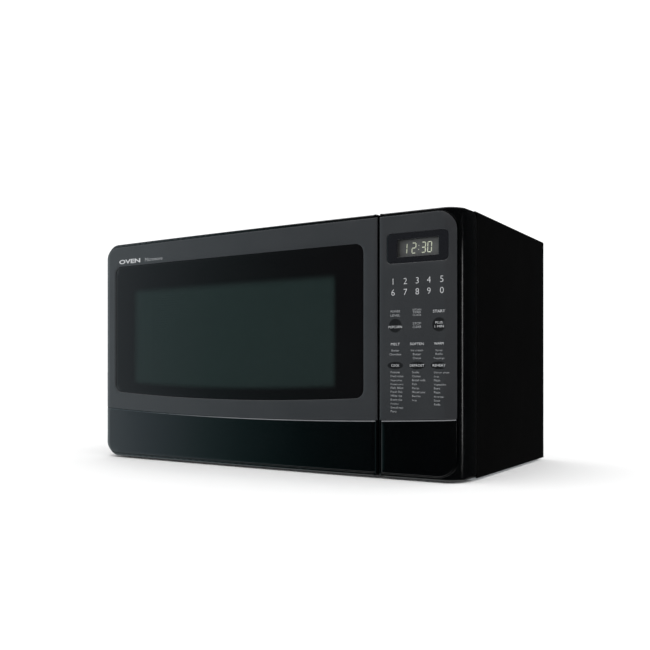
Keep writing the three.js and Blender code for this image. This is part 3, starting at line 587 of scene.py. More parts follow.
def smoked_pane():
    """Smoked pane, printed solid black round the view of the cavity, with painted shade in the soft fades
    at the view's edges.
    """
    s = Shader("smoked_pane", (0.004, 0.004, 0.0045), 0.16, IOR=1.5, Specular_IOR_Level=0.2)
    s.vary_rough(6.0, 0.13, 0.2)
    x, _, z = s.axes(s.coords)
    # The lower edge of the view rises towards its ends, as the window's does.
    rise = s.math("MULTIPLY", s.math("POWER", s.math("ADD", x, 0.03), 2.0), 0.15)
    # The soft fades at the view's edges, widest on the left and top, are painted shade from the border on
    # the screen behind; the solid black border is print.
    edges = [
        s.fade(x, VIEW.x0 - 12, VIEW.x0 + 4),
        s.fade(x, VIEW.x1 + 5, VIEW.x1 - 5),
        s.fade(s.math("SUBTRACT", z, rise), VIEW.z0 - 3, VIEW.z0 + 8),
        s.fade(z, VIEW.z1 + 9, VIEW.z1 - 5),
    ]
    view_mask_with_painted_shade = edges[0]
    for edge in edges[1:]:
        view_mask_with_painted_shade = s.math("MULTIPLY", view_mask_with_painted_shade, edge)
    s.blend(view_mask_with_painted_shade, (0.0036, 0.0034, 0.0038), (0.0145, 0.0238, 0.0228))
    s.set("Alpha", s.ramp(view_mask_with_painted_shade, 1.0, 0.78, (0, 1)))
    s.mat.surface_render_method = "BLENDED"
    return s.mat


def copper_winding():
    s = Shader("copper_winding", (0.42, 0.16, 0.07), 0.38, Metallic=0.8)
    s.vary_color(80.0, (0.36, 0.13, 0.055), (0.5, 0.2, 0.09), stretch=(1, 1, 8))
    s.bump(s.noise(900.0, 2.0, (1, 1, 20)), 0.3, 0.2)
    return s.mat


def clear_glass():
    s = Shader("clear_glass", (0.82, 0.9, 0.87), 0.04, IOR=1.5, Alpha=0.28)
    s.vary_rough(12.0, 0.02, 0.07)
    s.bump(s.noise(40.0, 1.0), 0.03, 0.1)
    s.mat.surface_render_method = "BLENDED"
    return s.mat


GLOSS = finish(
    "gloss_black", (0.0009, 0.0011, 0.0013), 0.1, IOR=1.5, gloss=(9.0, 0.07, 0.14),
    tints=(14.0, (0.0008, 0.0010, 0.0012), (0.0011, 0.0013, 0.0015)), grain=(160.0, 2.0, 0.02, 0.05))
SATIN = finish(
    "satin_grey", (0.0235, 0.0252, 0.0282), 0.42, IOR=1.5, gloss=(18.0, 0.38, 0.46),
    tints=(30.0, (0.0228, 0.0245, 0.0275), (0.0244, 0.0261, 0.0291)), grain=(2600.0, 2.0, 0.12, 0.03))
PAINT = finish(
    "cabinet_paint", (0.0008, 0.0008, 0.0009), 0.38, IOR=1.45, Specular_IOR_Level=0.14,
    tints=(12.0, (0.0006, 0.0006, 0.0007), (0.0010, 0.0010, 0.0011)), gloss=(7.0, 0.33, 0.42),
    grain=(900.0, 3.0, 0.10, 0.04))
SMOKED = smoked_pane()
# Painted highlight along the seam: the strip under it is coloured brighter towards the right.
SEAM_HIGHLIGHT = painted_highlight_edge(-230.0, 20.0, (0.014, 0.021, 0.025), (0.19, 0.195, 0.205))
# Painted highlight on the shell's hem: its colour brightens towards the right end.
HEM_HIGHLIGHT = painted_highlight_edge(-100.0, 290.0, (0.004, 0.004, 0.004), (0.22, 0.22, 0.23))
SCREEN = finish(
    "screen_metal", (0.05, 0.055, 0.055), 0.45, grain=(900.0, 2.0, 0.1, 0.02),
    tints=(40.0, (0.045, 0.05, 0.05), (0.058, 0.062, 0.062)))
DISPLAY = finish("display_glass", (0.0100, 0.0105, 0.0125), 0.1, IOR=1.5, gloss=(20.0, 0.07, 0.14))
CELL = finish(
    "lcd_cell", (0.085, 0.088, 0.088), 0.35, grain=(3000.0, 1.0, 0.05, 0.02),
    tints=(40.0, (0.078, 0.081, 0.082), (0.094, 0.097, 0.095)))
INK = finish(
    "lcd_ink", (0.62, 0.66, 0.5), 0.5, tints=(300.0, (0.58, 0.62, 0.46), (0.66, 0.70, 0.55)))
WHITE_PRINT = finish(
    "print_white", (0.46, 0.47, 0.48), 0.55, tints=(400.0, (0.42, 0.43, 0.44), (0.50, 0.51, 0.52)))
GREY_PRINT = finish(
    "print_grey", (0.27, 0.28, 0.29), 0.55, tints=(400.0, (0.24, 0.25, 0.26), (0.31, 0.32, 0.33)))
SPOT = finish("key_spot", (0.005, 0.005, 0.006), 0.4, gloss=(60.0, 0.36, 0.46))
STEEL = finish(
    "plated_steel", (0.48, 0.49, 0.5), 0.38, Metallic=1.0, gloss=(25.0, 0.36, 0.46),
    tints=(8.0, (0.45, 0.46, 0.48), (0.52, 0.53, 0.54)), grain=(900.0, 2.0, 0.05, 0.02))
ENAMEL = finish(
    "cavity_paint", (0.42, 0.41, 0.38), 0.34, gloss=(14.0, 0.28, 0.42),
    tints=(10.0, (0.40, 0.39, 0.36), (0.45, 0.44, 0.41)), grain=(1200.0, 2.0, 0.08, 0.03))
DARK_METAL = finish(
    "dark_metal", (0.012, 0.012, 0.013), 0.4, gloss=(30.0, 0.34, 0.48), grain=(1500.0, 2.0, 0.08, 0.02))
DARK_PLASTIC = finish(
    "dark_plastic", (0.014, 0.014, 0.015), 0.5, gloss=(30.0, 0.45, 0.6),
    tints=(40.0, (0.012, 0.012, 0.013), (0.017, 0.017, 0.018)), grain=(1800.0, 2.0, 0.15, 0.04))
WHITE_PLASTIC = finish(
    "white_plastic", (0.62, 0.61, 0.57), 0.42, gloss=(40.0, 0.36, 0.5),
    tints=(30.0, (0.60, 0.59, 0.55), (0.65, 0.64, 0.60)), grain=(1500.0, 2.0, 0.06, 0.03))
COPPER = copper_winding()
RUBBER = finish(
    "black_rubber", (0.014, 0.014, 0.014), 0.8, grain=(1500.0, 3.0, 0.25, 0.06),
    tints=(60.0, (0.011, 0.011, 0.011), (0.018, 0.018, 0.018)))
BOARD = finish(
    "circuit_board", (0.03, 0.13, 0.06), 0.35, grain=(220.0, 2.0, 0.2, 0.05),
    tints=(220.0, (0.02, 0.10, 0.045), (0.05, 0.18, 0.08), (1, 1, 1), (0.48, 0.52)))
MICA = finish(
    "mica_sheet", (0.45, 0.36, 0.25), 0.5, gloss=(90.0, 0.35, 0.6),
    tints=(70.0, (0.38, 0.30, 0.2), (0.52, 0.43, 0.31)))
GLASS = clear_glass()

BY_SLOT = {
    "painted_cabinet": PAINT,
    "gloss_black": GLOSS,
    "satin_grey": SATIN,
    "smoked_window": SMOKED,
    "clear_glass": GLASS,
    "display_glass": DISPLAY,
    "display_cell": CELL,
    "plated_steel": STEEL,
    "enamelled_cavity": ENAMEL,
    "dark_metal": DARK_METAL,
    "dark_plastic": DARK_PLASTIC,
    "white_plastic": WHITE_PLASTIC,
    "copper_winding": COPPER,
    "black_rubber": RUBBER,
    "circuit_board": BOARD,
    "mica_sheet": MICA,
}

for row in frame["record"]["subparts"]:
    part = NODES[row["node"]]
    part.data.materials.clear()
    part.data.materials.append(BY_SLOT[row["material_slot"]])


# ---- front skins

DOOR_FACE = Skin(FRONT, corners=EndCorners(-1, *DOOR_CORNER))
PANEL_FACE = Skin(FRONT, corners=EndCorners(1, *PANEL_END))

INSIDE_EDGE = 2.3       # from the gap's side walls to the glossy skins
SATIN_EDGE = 0.2        # and to the satin skins, which cover the corner
SEAM_EDGE_TALL = 1.2
HEM_HALF, HEM_TURN = 0.4, 2.5   # half the hem's section, and how far it cuts the shell's corners


def door_skins():
    face = DOOR_FACE
    outline = above_seam(-SKIN_X, DOOR_RIGHT - SATIN_EDGE, [1, 1, 0.8, SKIN_CORNER])
    plate("door_fascia_skin", face, face.uv(outline), [face.uv(window_outline())[::-1]], 0, SKIN_T,
          0.7, "door", SATIN, ["door_fascia"])
    outline = below_seam(-SKIN_X, DOOR_RIGHT - INSIDE_EDGE, [SKIN_CORNER, 1, 1, 1])
    plate("door_lower_skin", face, face.uv(outline), [], 0, SKIN_T, 1.3, "door", GLOSS,
          ["door_lower_panel"])
    seam_edge("door_seam_painted_highlight", face, -SKIN_X + 1, DOOR_RIGHT - INSIDE_EDGE - 0.6, "door")
    plate("door_window_pane", face, face.uv(window_outline(HAIRLINE)), [], 0.7, 1.6, 0.3, "door",
          SMOKED, ["door_window"])


def control_skins():
    face = PANEL_FACE
    hole = face.uv(rounded(PANE_LO.x, PANE_HI.x, PANE_LO.z, PANE_HI.z, 6), 2.0)[::-1]
    outline = above_seam(PANEL_LEFT + SATIN_EDGE, SKIN_X, [1, 1, PANEL_CORNER, 0.8])
    plate("control_fascia_skin", face, face.uv(outline), [hole], 0, SKIN_T, 0.7, "root", SATIN,
          ["control_fascia", "keypad"])
    outline = below_seam(PANEL_LEFT + INSIDE_EDGE, SKIN_X, [1, PANEL_CORNER, 1, 1])
    plate("release_button_skin", face, face.uv(outline), [], 0, SKIN_T, 1.3, "button", GLOSS,
          ["open_button"])
    seam_edge("button_seam_painted_highlight", face, PANEL_LEFT + INSIDE_EDGE + 0.6, SKIN_X - 1, "button")
    pane = rounded(PANE_LO.x + 0.2, PANE_HI.x - 0.2, PANE_LO.z + 0.2, PANE_HI.z - 0.2, 5.8)
    opening = rounded(LCD.x0, LCD.x1, LCD.z0, LCD.z1, 0.5)
    plate("display_bezel", face, face.uv(pane, 2.0), [face.uv(opening, 2.0)[::-1]], 0.5, 1.6, 0.4,
          "root", DISPLAY, ["display_window"], rows=6.0)


def seam_edge(name, face, x0, x1, body):
    """The polished upper edge of a glossy skin, just below the seam, as a strip whose colour is a painted
    highlight.
    """
    low = seam_line(x0, x1, -HAIRLINE - SEAM_EDGE_TALL)
    outline = np.concatenate([low, seam_line(x0, x1, -HAIRLINE)[::-1]])
    plate(name, face, face.uv(outline), [], 0.0, 1.4, 0.15, body, SEAM_HIGHLIGHT, steps=2)


def shell_hem():
    """The folded front edge of the cabinet shell, a thin bead up, over and down."""
    half, turn = HEM_HALF, HEM_TURN
    x, y, z = HALF_W - half, WRAP_Y + half, TOP_Z - half
    foot = BASE_Z + half
    path = [(-x, foot), (-x, z - turn), (-x + turn, z), (x - turn, z), (x, z - turn), (x, foot)]
    out = [(-1, 0), (-1, 0.4), (-0.4, 1), (0.4, 1), (1, 0.4), (1, 0)]
    section = [(1, -1), (1, 1), (-1, 1), (-1, -1)]
    verts, faces = [], []
    for (px, pz), (ox, oz) in zip(path, out):
        length = math.hypot(ox, oz)
        for across, back in section:
            reach = half * across / length
            verts.append((px + ox * reach, y + half * back, pz + oz * reach))
    sides = len(section)
    for i in range(len(path) - 1):
        a, b = i * sides, (i + 1) * sides
        faces += [(a + k, a + (k + 1) % sides, b + (k + 1) % sides, b + k) for k in range(sides)]
    faces += [tuple(range(sides))[::-1], tuple(range(len(verts) - sides, len(verts)))]
    # The hem carries a painted highlight in its colour.
    make("shell_hem", verts, faces, "root", HEM_HIGHLIGHT)


# ---- glossy mouldings

LIP_EASE = 1.8
CORNER_EASE = 1.6       # rounding of the corner beside the gap
POCKET = 2.9            # depth of the recess that the skins sit in
POCKET_MARGIN = 0.4     # gap round the skins
RIM_EASE = 0.5          # rounding of the recess's rim
MOULDED_WALL = 1.6
RETURN_X = -274.5       # end of the door's return behind the hinge side
SLOT_X, SLOT_Y = -283.5, -143.0
SLOT_Z = (12.0, 19.0), (317.0, 324.0)


def gap_edge(loop, line, x_edge, inwards):
    """Carries the pocket above the seam round the corner onto the gap's side wall."""
    x_in = x_edge + inwards * (INSIDE_EDGE - POCKET_MARGIN)
    round_corner = CORNER_EASE * 1.6 + 2.0      # along the rounding, and 2 mm down the side wall
    wrapped = line.u_at(x_edge + inwards * (CORNER_EASE + 0.01)) - inwards * round_corner
    start = line.u_at(x_in)
    seam = seam_at(x_in) + 0.1
    out = []
    for (u, v), (u2, v2) in zip(loop, np.roll(loop, -1, 0)):
        on_edge = abs(u - start) < 0.05
        out.append((wrapped if on_edge and v > seam else u, v))
        if on_edge and abs(u2 - start) < 0.05 and (v - seam) * (v2 - seam) < 0:
            step = [(start, seam), (wrapped, seam + 0.02)]
            out += step if v < v2 else step[::-1]
    return np.array(out)


def side_limit(x_edge, reach=8.0, inset=1.3, slope=1.2):
    """Keeps the inset small within reach of a side wall, so that its corner stays round."""
    def keep(line):
        near = np.abs(line.points[:, 0] - x_edge)
        line.limit = np.where(near < reach, inset + np.maximum(near - CORNER_EASE, 0) * slope, 1e3)
    return keep


def moulding(name, surface, pocket, windows, body, replaces, slots=()):
    """A glossy moulding: eased edges, closed ends, and a recess with a floor for the skins.

    windows are the openings in the recess's floor, slots those in the wall round it.
    """
    line = surface.line
    away = loop_normals(pocket)
    ease_rows = surface.quarter * np.array([0.25, 0.5, 0.75, 1.0])
    low, high = surface.v0 + ease_rows, surface.v1 - ease_rows
    us = line.u
    vs = np.concatenate([low, surface.rows(low[-1] + 1, high[-1] - 1, 10.0), high[::-1]])
    bottom = [(u, surface.v0) for u in us]
    top = [(u, surface.v1) for u in us[::-1]]
    right = [(us[-1], v) for v in vs]
    left = [(us[0], v) for v in vs[::-1]]
    outer = np.array(bottom + right + top + left)
    rim = pocket + away * RIM_EASE
    flat, tris, source = fill(outer, [rim[::-1], *slots], us, vs, 0.25)
    verts = [surface.point(u, v, 0) for u, v in flat]
    faces = [t if area2(flat, t) > 0 else t[::-1] for t in tris]
    caps = [range(len(bottom)), range(len(bottom + right), len(bottom + right + top))]
    faces += [tuple(source[i] for i in reversed(cap)) for cap in caps]
    count = len(pocket)
    first = len(outer)
    rings = [[source[first + i] for i in range(count)][::-1]]
    for k in (1, 2, 3):
        turn = k / 3 * math.pi / 2
        loop = pocket + away * RIM_EASE * (1 - math.sin(turn))
        rings.append(ring(verts, surface, loop, RIM_EASE * (1 - math.cos(turn))))
    flat, tris, source = fill(pocket, windows, us, surface.rows(low[-1], high[-1], 12.0))
    start = len(verts)
    verts += [surface.point(u, v, POCKET) for u, v in flat]
    faces += [tuple(start + i for i in (t if area2(flat, t) > 0 else t[::-1])) for t in tris]
    rings.append([start + source[i] for i in range(count)])
    for a, b in zip(rings, rings[1:]):
        faces += [(a[i], a[(i + 1) % count], b[(i + 1) % count], b[i]) for i in range(count)]
    thicken(make(name, verts, faces, body, GLOSS, replaces), MOULDED_WALL)


def door_moulding():
    r = CORNER_EASE
    right = DOOR_RIGHT
    line = PlanLine(
        np.stack([np.linspace(RETURN_X, HINGE_X + 1, 9), [DOOR_BACK] * 9], 1),
        arc(HINGE_X, HINGE_Y, HEEL_R, HEEL_R, 90, 176, 12),
        LEFT_END[LEFT_END[:, 1] < HINGE_Y - 1],
        bow_line(-FLAT_HALF, right - r),
        arc(right - r, bow_at(right) + r, r, r, 270, 360, 6),
        np.array([[right, y] for y in np.linspace(bow_at(right) + 3, DOOR_BACK, 10)]),
        keep=side_limit(right),
    )
    surface = Skin(line, LIP_EASE, EndCorners(-1, *DOOR_CORNER))
    radii = [SKIN_CORNER, 0, 0, SKIN_CORNER]
    margin = POCKET_MARGIN
    mouth = (-SKIN_X - 1.0, right - INSIDE_EDGE + margin, SKIN_LOW - margin, SKIN_TOP + margin)
    pocket = surface.uv(rounded(*mouth, radii))
    pocket = gap_edge(pocket, line, right, -1)
    view = surface.uv(rounded(VIEW.x0 - 12, VIEW.x1 + 12, VIEW.z0 - 10, VIEW.z1 + 10, 10))
    slot_start = RETURN_X - SLOT_X
    slot_end = line.u[np.argmax(line.points[:, 1] < SLOT_Y)]
    slots = [refine(rounded(slot_start, slot_end, z0, z1, 0), 1.5)[::-1] for z0, z1 in SLOT_Z]
    moulding("door_moulding", surface, pocket, [view[::-1]], "door", ["door_frame"], slots)


def control_moulding():
    r = CORNER_EASE
    left = PANEL_LEFT
    back = cad("control_frame")[1].y
    line = PlanLine(
        np.array([[left, y] for y in np.linspace(back - 3, bow_at(left) + 3, 10)]),
        arc(left + r, bow_at(left) + r, r, r, 180, 270, 6),
        bow_line(left + r, FLAT_HALF),
        RIGHT_END,
        np.array([[HALF_W, back]]),
        keep=side_limit(left),
    )
    surface = Skin(line, LIP_EASE, EndCorners(1, *PANEL_END))
    radii = [0, PANEL_CORNER, PANEL_CORNER, 0]
    margin = POCKET_MARGIN
    mouth = (left + INSIDE_EDGE - margin, SKIN_X + 1.2, SKIN_LOW - margin, SKIN_TOP + margin)
    pocket = surface.uv(rounded(*mouth, radii))
    pocket = gap_edge(pocket, line, left, 1)
    tape = surface.uv(rounded(LCD.x0 - 1, LCD.x1 + 1, LCD.z0 - 1, LCD.z1 + 1, 2))
    moulding("control_moulding", surface, pocket, [tape[::-1]], "root", ["control_frame"])


# ---- printed legends

PRINT_PROUD = 0.05


def front_at(x):
    return float(FRONT.at(FRONT.u_at(x), 0)[1])


class Legend:
    """Flat printing on the front, gathered into one piece."""

    def __init__(self):
        self.verts, self.faces = [], []

    def add(self, points, faces, x, z):
        start = len(self.verts)
        for px, pz in points:
            self.verts.append((x + px, front_at(x + px) - PRINT_PROUD, z + pz))
        self.faces += [tuple(start + i for i in face) for face in faces]

    def text(self, words, x, z, height, width=None, align="CENTER", weight=0.0):
        """One line of capitals, height tall, centred on z, squeezed to a width."""
        curve = bpy.data.curves.new("line", "FONT")
        curve.body = words
        curve.align_x = align
        curve.resolution_u = 3
        curve.offset = weight
        obj = bpy.data.objects.new("line", curve)
        mesh = bpy.data.meshes.new_from_object(obj)
        points = np.array([tuple(v.co)[:2] for v in mesh.vertices])
        low, high = points.min(0), points.max(0)
        cap = height / (high[1] - min(low[1], 0)) if high[1] > 0 else height
        across = cap if width is None else width / (high[0] - low[0])
        points = points * (across, cap) - (0, height / 2)
        self.add(points, [tuple(p.vertices) for p in mesh.polygons], x, z)
        bpy.data.objects.remove(obj)
        bpy.data.curves.remove(curve)
        bpy.data.meshes.remove(mesh)

    def disc(self, x, z, rx, rz, steps=40):
        rim = arc(0, 0, rx, rz, 0, 360, steps)[:-1]
        self.add([(0, 0), *rim], [(0, 1 + i, 1 + (i + 1) % steps) for i in range(steps)], x, z)

    def make(self, name, body, material, slot):
        make(name, self.verts, self.faces, body, material, smooth=None)


KEY_COLUMNS = (217.3, 246.1, 274.5)
NUMBER_X = (214.3, 230.7, 246.6, 261.7, 278.2)
NUMBER_Z = (246.5, 233.0)
COOK_LISTS = (
    ["Potatoes", "Fresh roots", "Vegetables", "Frozen peas", "Fish fillet", "Fresh fish", "White rice",
     "Brown rice", "Poultry", "Ground meat", "Pasta"],
    ["Steaks", "Chicken", "Bread rolls", "Fish", "Pieces", "Minced meat", "Berries", "Soup"],
    ["Dinner plate", "Soup", "Pizza", "Vegetables", "Beans", "Pasta", "Beverage", "Sauce", "Rolls"],
)
SHORT_LISTS = (["Butter", "Chocolate"], ["Ice cream", "Butter", "Cheese"], ["Syrup", "Rolls", "Toppings"])
HEADS = ("MELT", "SOFTEN", "WARM"), ("COOK", "DEFROST", "REHEAT")
HEAD_Z = (168.8, 142.3)                 # heights of the two rows of headings
SHORT_Z, SHORT_STEP = 161.0, 4.8        # first line and spacing of the lists under them
COOK_Z, COOK_STEP, COOK_INDENT = 134.0, 4.87, 6.5
ROUND_KEY_Z, ROUND_KEY_R = 191.8, 8.5


def control_legends():
    bright, dim, spots = Legend(), Legend(), Legend()
    for row, digits in enumerate(("12345", "67890")):
        for x, digit in zip(NUMBER_X, digits):
            bright.text(digit, x, NUMBER_Z[row], 7.6, weight=-0.012)
    first, middle, last = KEY_COLUMNS
    for words, z in (("POWER", 209.5), ("LEVEL", 204.5)):
        dim.text(words, first, z, 2.7, 13)
    for words, z in (("KITCHEN", 210.6), ("TIMER", 207.4), ("CLOCK", 204.2)):
        dim.text(words, middle, z, 2.4, 11)
    bright.text("START", last, 207.9, 3.4, 15.5)
    for x in (first, last):
        spots.disc(x, ROUND_KEY_Z, ROUND_KEY_R, ROUND_KEY_R)
    bright.text("POPCORN", first, 190.2, 3.0, 18)
    bright.text("PLUS", last, 194.2, 2.7, 9)
    bright.text("1 MIN", last, 189.4, 2.7, 11.5)
    for words, z in (("STOP", 193.8), ("CLEAR", 189.6)):
        dim.text(words, middle, z, 2.9, 11)
    for column, x in enumerate(KEY_COLUMNS):
        upper, lower = (names[column] for names in HEADS)
        bright.text(upper, x, HEAD_Z[0], 3.0, 3.0 * len(upper))
        for row, words in enumerate(SHORT_LISTS[column]):
            dim.text(words, x, SHORT_Z - SHORT_STEP * row, 2.5, 1.75 * len(words))
        spots.disc(x, HEAD_Z[1], 10.5, 4.6)
        bright.text(lower, x, HEAD_Z[1], 3.0, 2.7 * len(lower))
        for row, words in enumerate(COOK_LISTS[column]):
            dim.text(words, x - COOK_INDENT, COOK_Z - COOK_STEP * row, 2.5, 1.55 * len(words), "LEFT")
    bright.make("legend_bright", "root", WHITE_PRINT, "satin_grey")
    dim.make("legend_dim", "root", GREY_PRINT, "satin_grey")
    spots.verts = [(x, y + PRINT_PROUD * 0.5, z) for x, y, z in spots.verts]
    spots.make("key_spots", "root", SPOT, "satin_grey")


def door_legend():
    words = Legend()
    words.text("OVEN", -260, 305.6, 6.6, 46, "LEFT", 0.03)
    words.make("door_legend", "door", WHITE_PRINT, "satin_grey")
    small = Legend()
    small.text("Microwave", -204, 305.2, 5.4, 36, "LEFT")
    small.make("door_legend_small", "door", GREY_PRINT, "satin_grey")


# Seven-segment digits: segments a to g.
SEGMENTS = {"1": "bc", "2": "abged", "3": "abgcd", "0": "abcdef"}
SEGMENT_LEAN = 0.06


def segment(a, b, thick):
    """A bar with pointed ends from a to b."""
    a, b = np.array(a, float), np.array(b, float)
    along = (b - a) / np.linalg.norm(b - a)
    side = np.array([-along[1], along[0]]) * thick / 2
    return [a, a + along * thick / 2 + side, b - along * thick / 2 + side, b,
            b - along * thick / 2 - side, a + along * thick / 2 - side]


def clock_digits():
    wide, high, thick, small = 4.9, 12.4, 1.05, 0.25
    half = high / 2
    ends = {
        "a": ((0, high), (wide, high)),
        "b": ((wide, half), (wide, high)),
        "c": ((wide, 0), (wide, half)),
        "d": ((0, 0), (wide, 0)),
        "e": ((0, 0), (0, half)),
        "f": ((0, half), (0, high)),
        "g": ((0, half), (wide, half)),
    }
    verts, faces = [], []
    face_y = cad("display_module")[0].y - 0.15

    def put(points, x):
        start = len(verts)
        for px, pz in points:
            verts.append((x + px + SEGMENT_LEAN * pz, face_y, LCD.z0 + 4.6 + pz))
        faces.append(tuple(range(start, start + len(points))))

    for x, digit in ((224.2, "1"), (236.2, "2"), (249.0, "3"), (257.0, "0")):
        for name in SEGMENTS[digit]:
            a, b = ends[name]
            shift = np.array([small if a[0] != b[0] else 0, small if a[1] != b[1] else 0])
            put(segment(np.array(a) + shift, np.array(b) - shift, thick), x)
    for pz in (3.6, 8.4):
        put([(0, pz), (0.9, pz), (0.9, pz + 0.9), (0, pz + 0.9)], 244.6)
    make("clock_digits", verts, [f[::-1] for f in faces], "root", INK, smooth=None)


# ---- door screen

def perforated_screen():
    """The screen behind the window, with its holes, in a plain rim."""
    pitch, hole = 4.4, 1.55
    row_step = pitch * 0.866
    low, high = cad("door_screen")
    x_in, z_in = VIEW.x0 - 4, VIEW.z0 - 4       # where the holes start, and where they end
    x_out, z_out = VIEW.x1 + 7, VIEW.z1 + 5
    corner = hole / math.cos(math.radians(30))
    verts, faces, index = [], [], {}

    def vert(x, z):
        key = (round(x, 2), round(z, 2))
        if key not in index:
            index[key] = len(verts)
            verts.append((x, low.y, z))
        return index[key]

    rows = int((VIEW.z1 - VIEW.z0 + 12) / row_step)
    columns = int((VIEW.x1 - VIEW.x0 + 12) / pitch)
    cell = pitch / math.sqrt(3)
    angles = [math.radians(30 + 60 * k) for k in range(6)]
    for row in range(rows):
        for column in range(columns):
            cx = x_in + pitch * (column + 0.5 * (row % 2))
            cz = z_in + row_step * row
            outer = [vert(cx + cell * math.cos(a), cz + cell * math.sin(a)) for a in angles]
            inner = [len(verts) + k for k in range(6)]
            verts += [(cx + corner * math.cos(a), low.y, cz + corner * math.sin(a)) for a in angles]
            faces += [(outer[k], outer[(k + 1) % 6], inner[(k + 1) % 6], inner[k]) for k in range(6)]
    for x0, x1, z0, z1 in (
        (low.x, high.x, low.z, z_in), (low.x, high.x, z_out, high.z),
        (low.x, x_in, z_in, z_out), (x_out, high.x, z_in, z_out),
    ):
        start = len(verts)
        verts += [(x0, low.y, z0), (x1, low.y, z0), (x1, low.y, z1), (x0, low.y, z1)]
        faces.append((start, start + 1, start + 2, start + 3))
    obj = make("perforated_screen", verts, faces, "door", SCREEN, ["door_screen"],
               smooth=None)
    thicken(obj, high.y - low.y)


# ---- round parts

def turned(name, points, at, body, material, replaces, axis="z", steps=64):
    """A solid of revolution from (radius, height) points along an axis through at."""
    verts, faces = [], []
    count = len(points)
    for i in range(steps):
        a = 2 * math.pi * i / steps
        for radius, height in points:
            local = {
                "z": (radius * math.cos(a), radius * math.sin(a), height),
                "y": (radius * math.cos(a), height, -radius * math.sin(a)),
            }[axis]
            verts.append(tuple(c + d for c, d in zip(local, at)))
    for i in range(steps):
        a, b = i * count, (i + 1) % steps * count
        faces += [(a + k, b + k, b + k + 1, a + k + 1) for k in range(count - 1)]
    make(name, verts, faces, body, material, replaces)


def middle(node):
    low, high = cad(node)
    return (low + high) / 2


def feet():
    for k in range(1, 5):
        node = f"foot_{k}"
        low, high = cad(node)
        x, y, _ = middle(node)
        outline = [(0.01, 0.6), (6.5, 0.6), (7.3, 0.0), (9.6, 0.0), (10.4, 0.3), (10.9, 1.0), (10.9, 2.3),
                   (10.5, 2.8), (10.0, 2.9), (4, 2.9), (4, high.z - 0.8), (3.2, high.z), (0.01, high.z)]
        turned(f"{node}_pad", outline, (x, y, low.z), "root", RUBBER, [node])


def tray():
    low, high = cad("glass_tray")
    x, y, _ = middle("glass_tray")
    r = high.x - x
    z = low.z
    outline = [
        (0.01, 0.0), (97, 0.0), (97.8, 0.15), (105, 1.1), (112, 2.9), (119, 6.6), (r - 1.4, 11.6),
        (r - 0.5, 12.6), (r, 13.5), (r - 0.3, 14.2), (r - 1.2, 14.5), (r - 2.6, 14.4), (r - 4, 13.8),
        (118, 11.2), (110, 7.6), (103, 5.4), (96, 4.6), (90, 4.5), (50.6, 4.5), (50.2, 4.15),
        (49.8, 4.5), (0.01, 4.5),
    ]
    turned("turntable_tray", outline, (x, y, z), "tray", GLASS, ["glass_tray"], steps=96)


def rear_screws():
    """Pan-head screws with a cross recess."""
    for k in range(1, 5):
        node = f"rear_screw_{k}"
        low, high = cad(node)
        x, _, z = middle(node)
        r = (high.x - low.x) / 2
        outline = [(r, low.y), (r, low.y + 0.5), (r * 0.93, low.y + 1.3), (r * 0.72, high.y - 0.2),
                   (r * 0.5, high.y), (0.01, high.y)]
        turned(f"{node}_head", outline, (x, 0, z), "root", STEEL, [node], "y", 32)
        verts, faces = [], []
        for wide, tall in ((r * 0.55, r * 0.13), (r * 0.13, r * 0.55)):
            start = len(verts)
            verts += [(x + dx, high.y + 0.02, z + dz)
                      for dx, dz in ((-wide, -tall), (wide, -tall), (wide, tall), (-wide, tall))]
            faces.append((start + 3, start + 2, start + 1, start))
        make(f"{node}_cross", verts, faces, "root", DARK_METAL, smooth=None)


# ---- stage, lights, camera

CAMERA_AT = (656.9, -1076.7, 136.7)
CAMERA_YAW = 33.053
CAMERA_LENS = 44.66
CAMERA_SHIFT = (0.05, 0.0692)


def camera():
    data = bpy.data.cameras.new("camera")
    data.lens = CAMERA_LENS
    data.sensor_width = 36.0
    data.shift_x, data.shift_y = CAMERA_SHIFT
    data.clip_start, data.clip_end = 0.05, 50.0
    obj = placed("camera", data)
    obj.location = Vector(CAMERA_AT) * MM
    obj.rotation_euler = (math.radians(90), 0, math.radians(CAMERA_YAW))
    bpy.context.scene.camera = obj


def floor():
    mesh = bpy.data.meshes.new("floor")
    size = 60.0         # metres, so that its edge lies on the horizon
    corners = [(-size, -size, 0), (size, -size, 0), (size, size, 0), (-size, size, 0)]
    mesh.from_pydata(corners, [], [(0, 1, 2, 3)])
    tints = (1.5, (0.89, 0.89, 0.89), (0.91, 0.91, 0.91))
    mesh.materials.append(finish("floor", (0.9, 0.9, 0.9), 0.75, tints))
    obj = placed("floor", mesh)
    obj.visible_glossy = False


def area_light(name, at, towards, size, power):
    data = bpy.data.lights.new(name, "AREA")
    data.shape = "RECTANGLE"
    data.size, data.size_y = size
    data.energy = power
    obj = placed(name, data)
    obj.location = at
    obj.rotation_euler = (Vector(towards) - Vector(at)).to_track_quat("-Z", "Y").to_euler()


# Brightness of the studio as the glossy surfaces mirror it: degrees right of the front, colour.
STUDIO_RING = [
    (-180, (0.02, 0.02, 0.02)), (-115, (0.26, 0.30, 0.31)), (-80, (1.05, 1.22, 1.27)),
    (-52, (1.02, 1.18, 1.26)), (-47, (0.55, 0.69, 0.78)), (-41, (0.22, 0.36, 0.38)),
    (-36, (0.07, 0.16, 0.165)), (-31, (0.014, 0.055, 0.058)), (-26, (0.003, 0.016, 0.019)),
    (-21, (0.002, 0.004, 0.006)), (30, (0.002, 0.002, 0.003)), (180, (0.02, 0.02, 0.02)),
]
# A narrow upright light behind the right end: degrees, and how far down and up it reaches.
STRIP = [(102.4, 0.0), (103.2, 7.0), (104.8, 7.0), (105.6, 0.0)]
STRIP_REACH, STRIP_SOFT = (-0.105, 0.15), 0.02
OVERHEAD_BRIGHT, BELOW_BRIGHT = 2.6, 0.9
STUDIO_LIGHT = 1.2


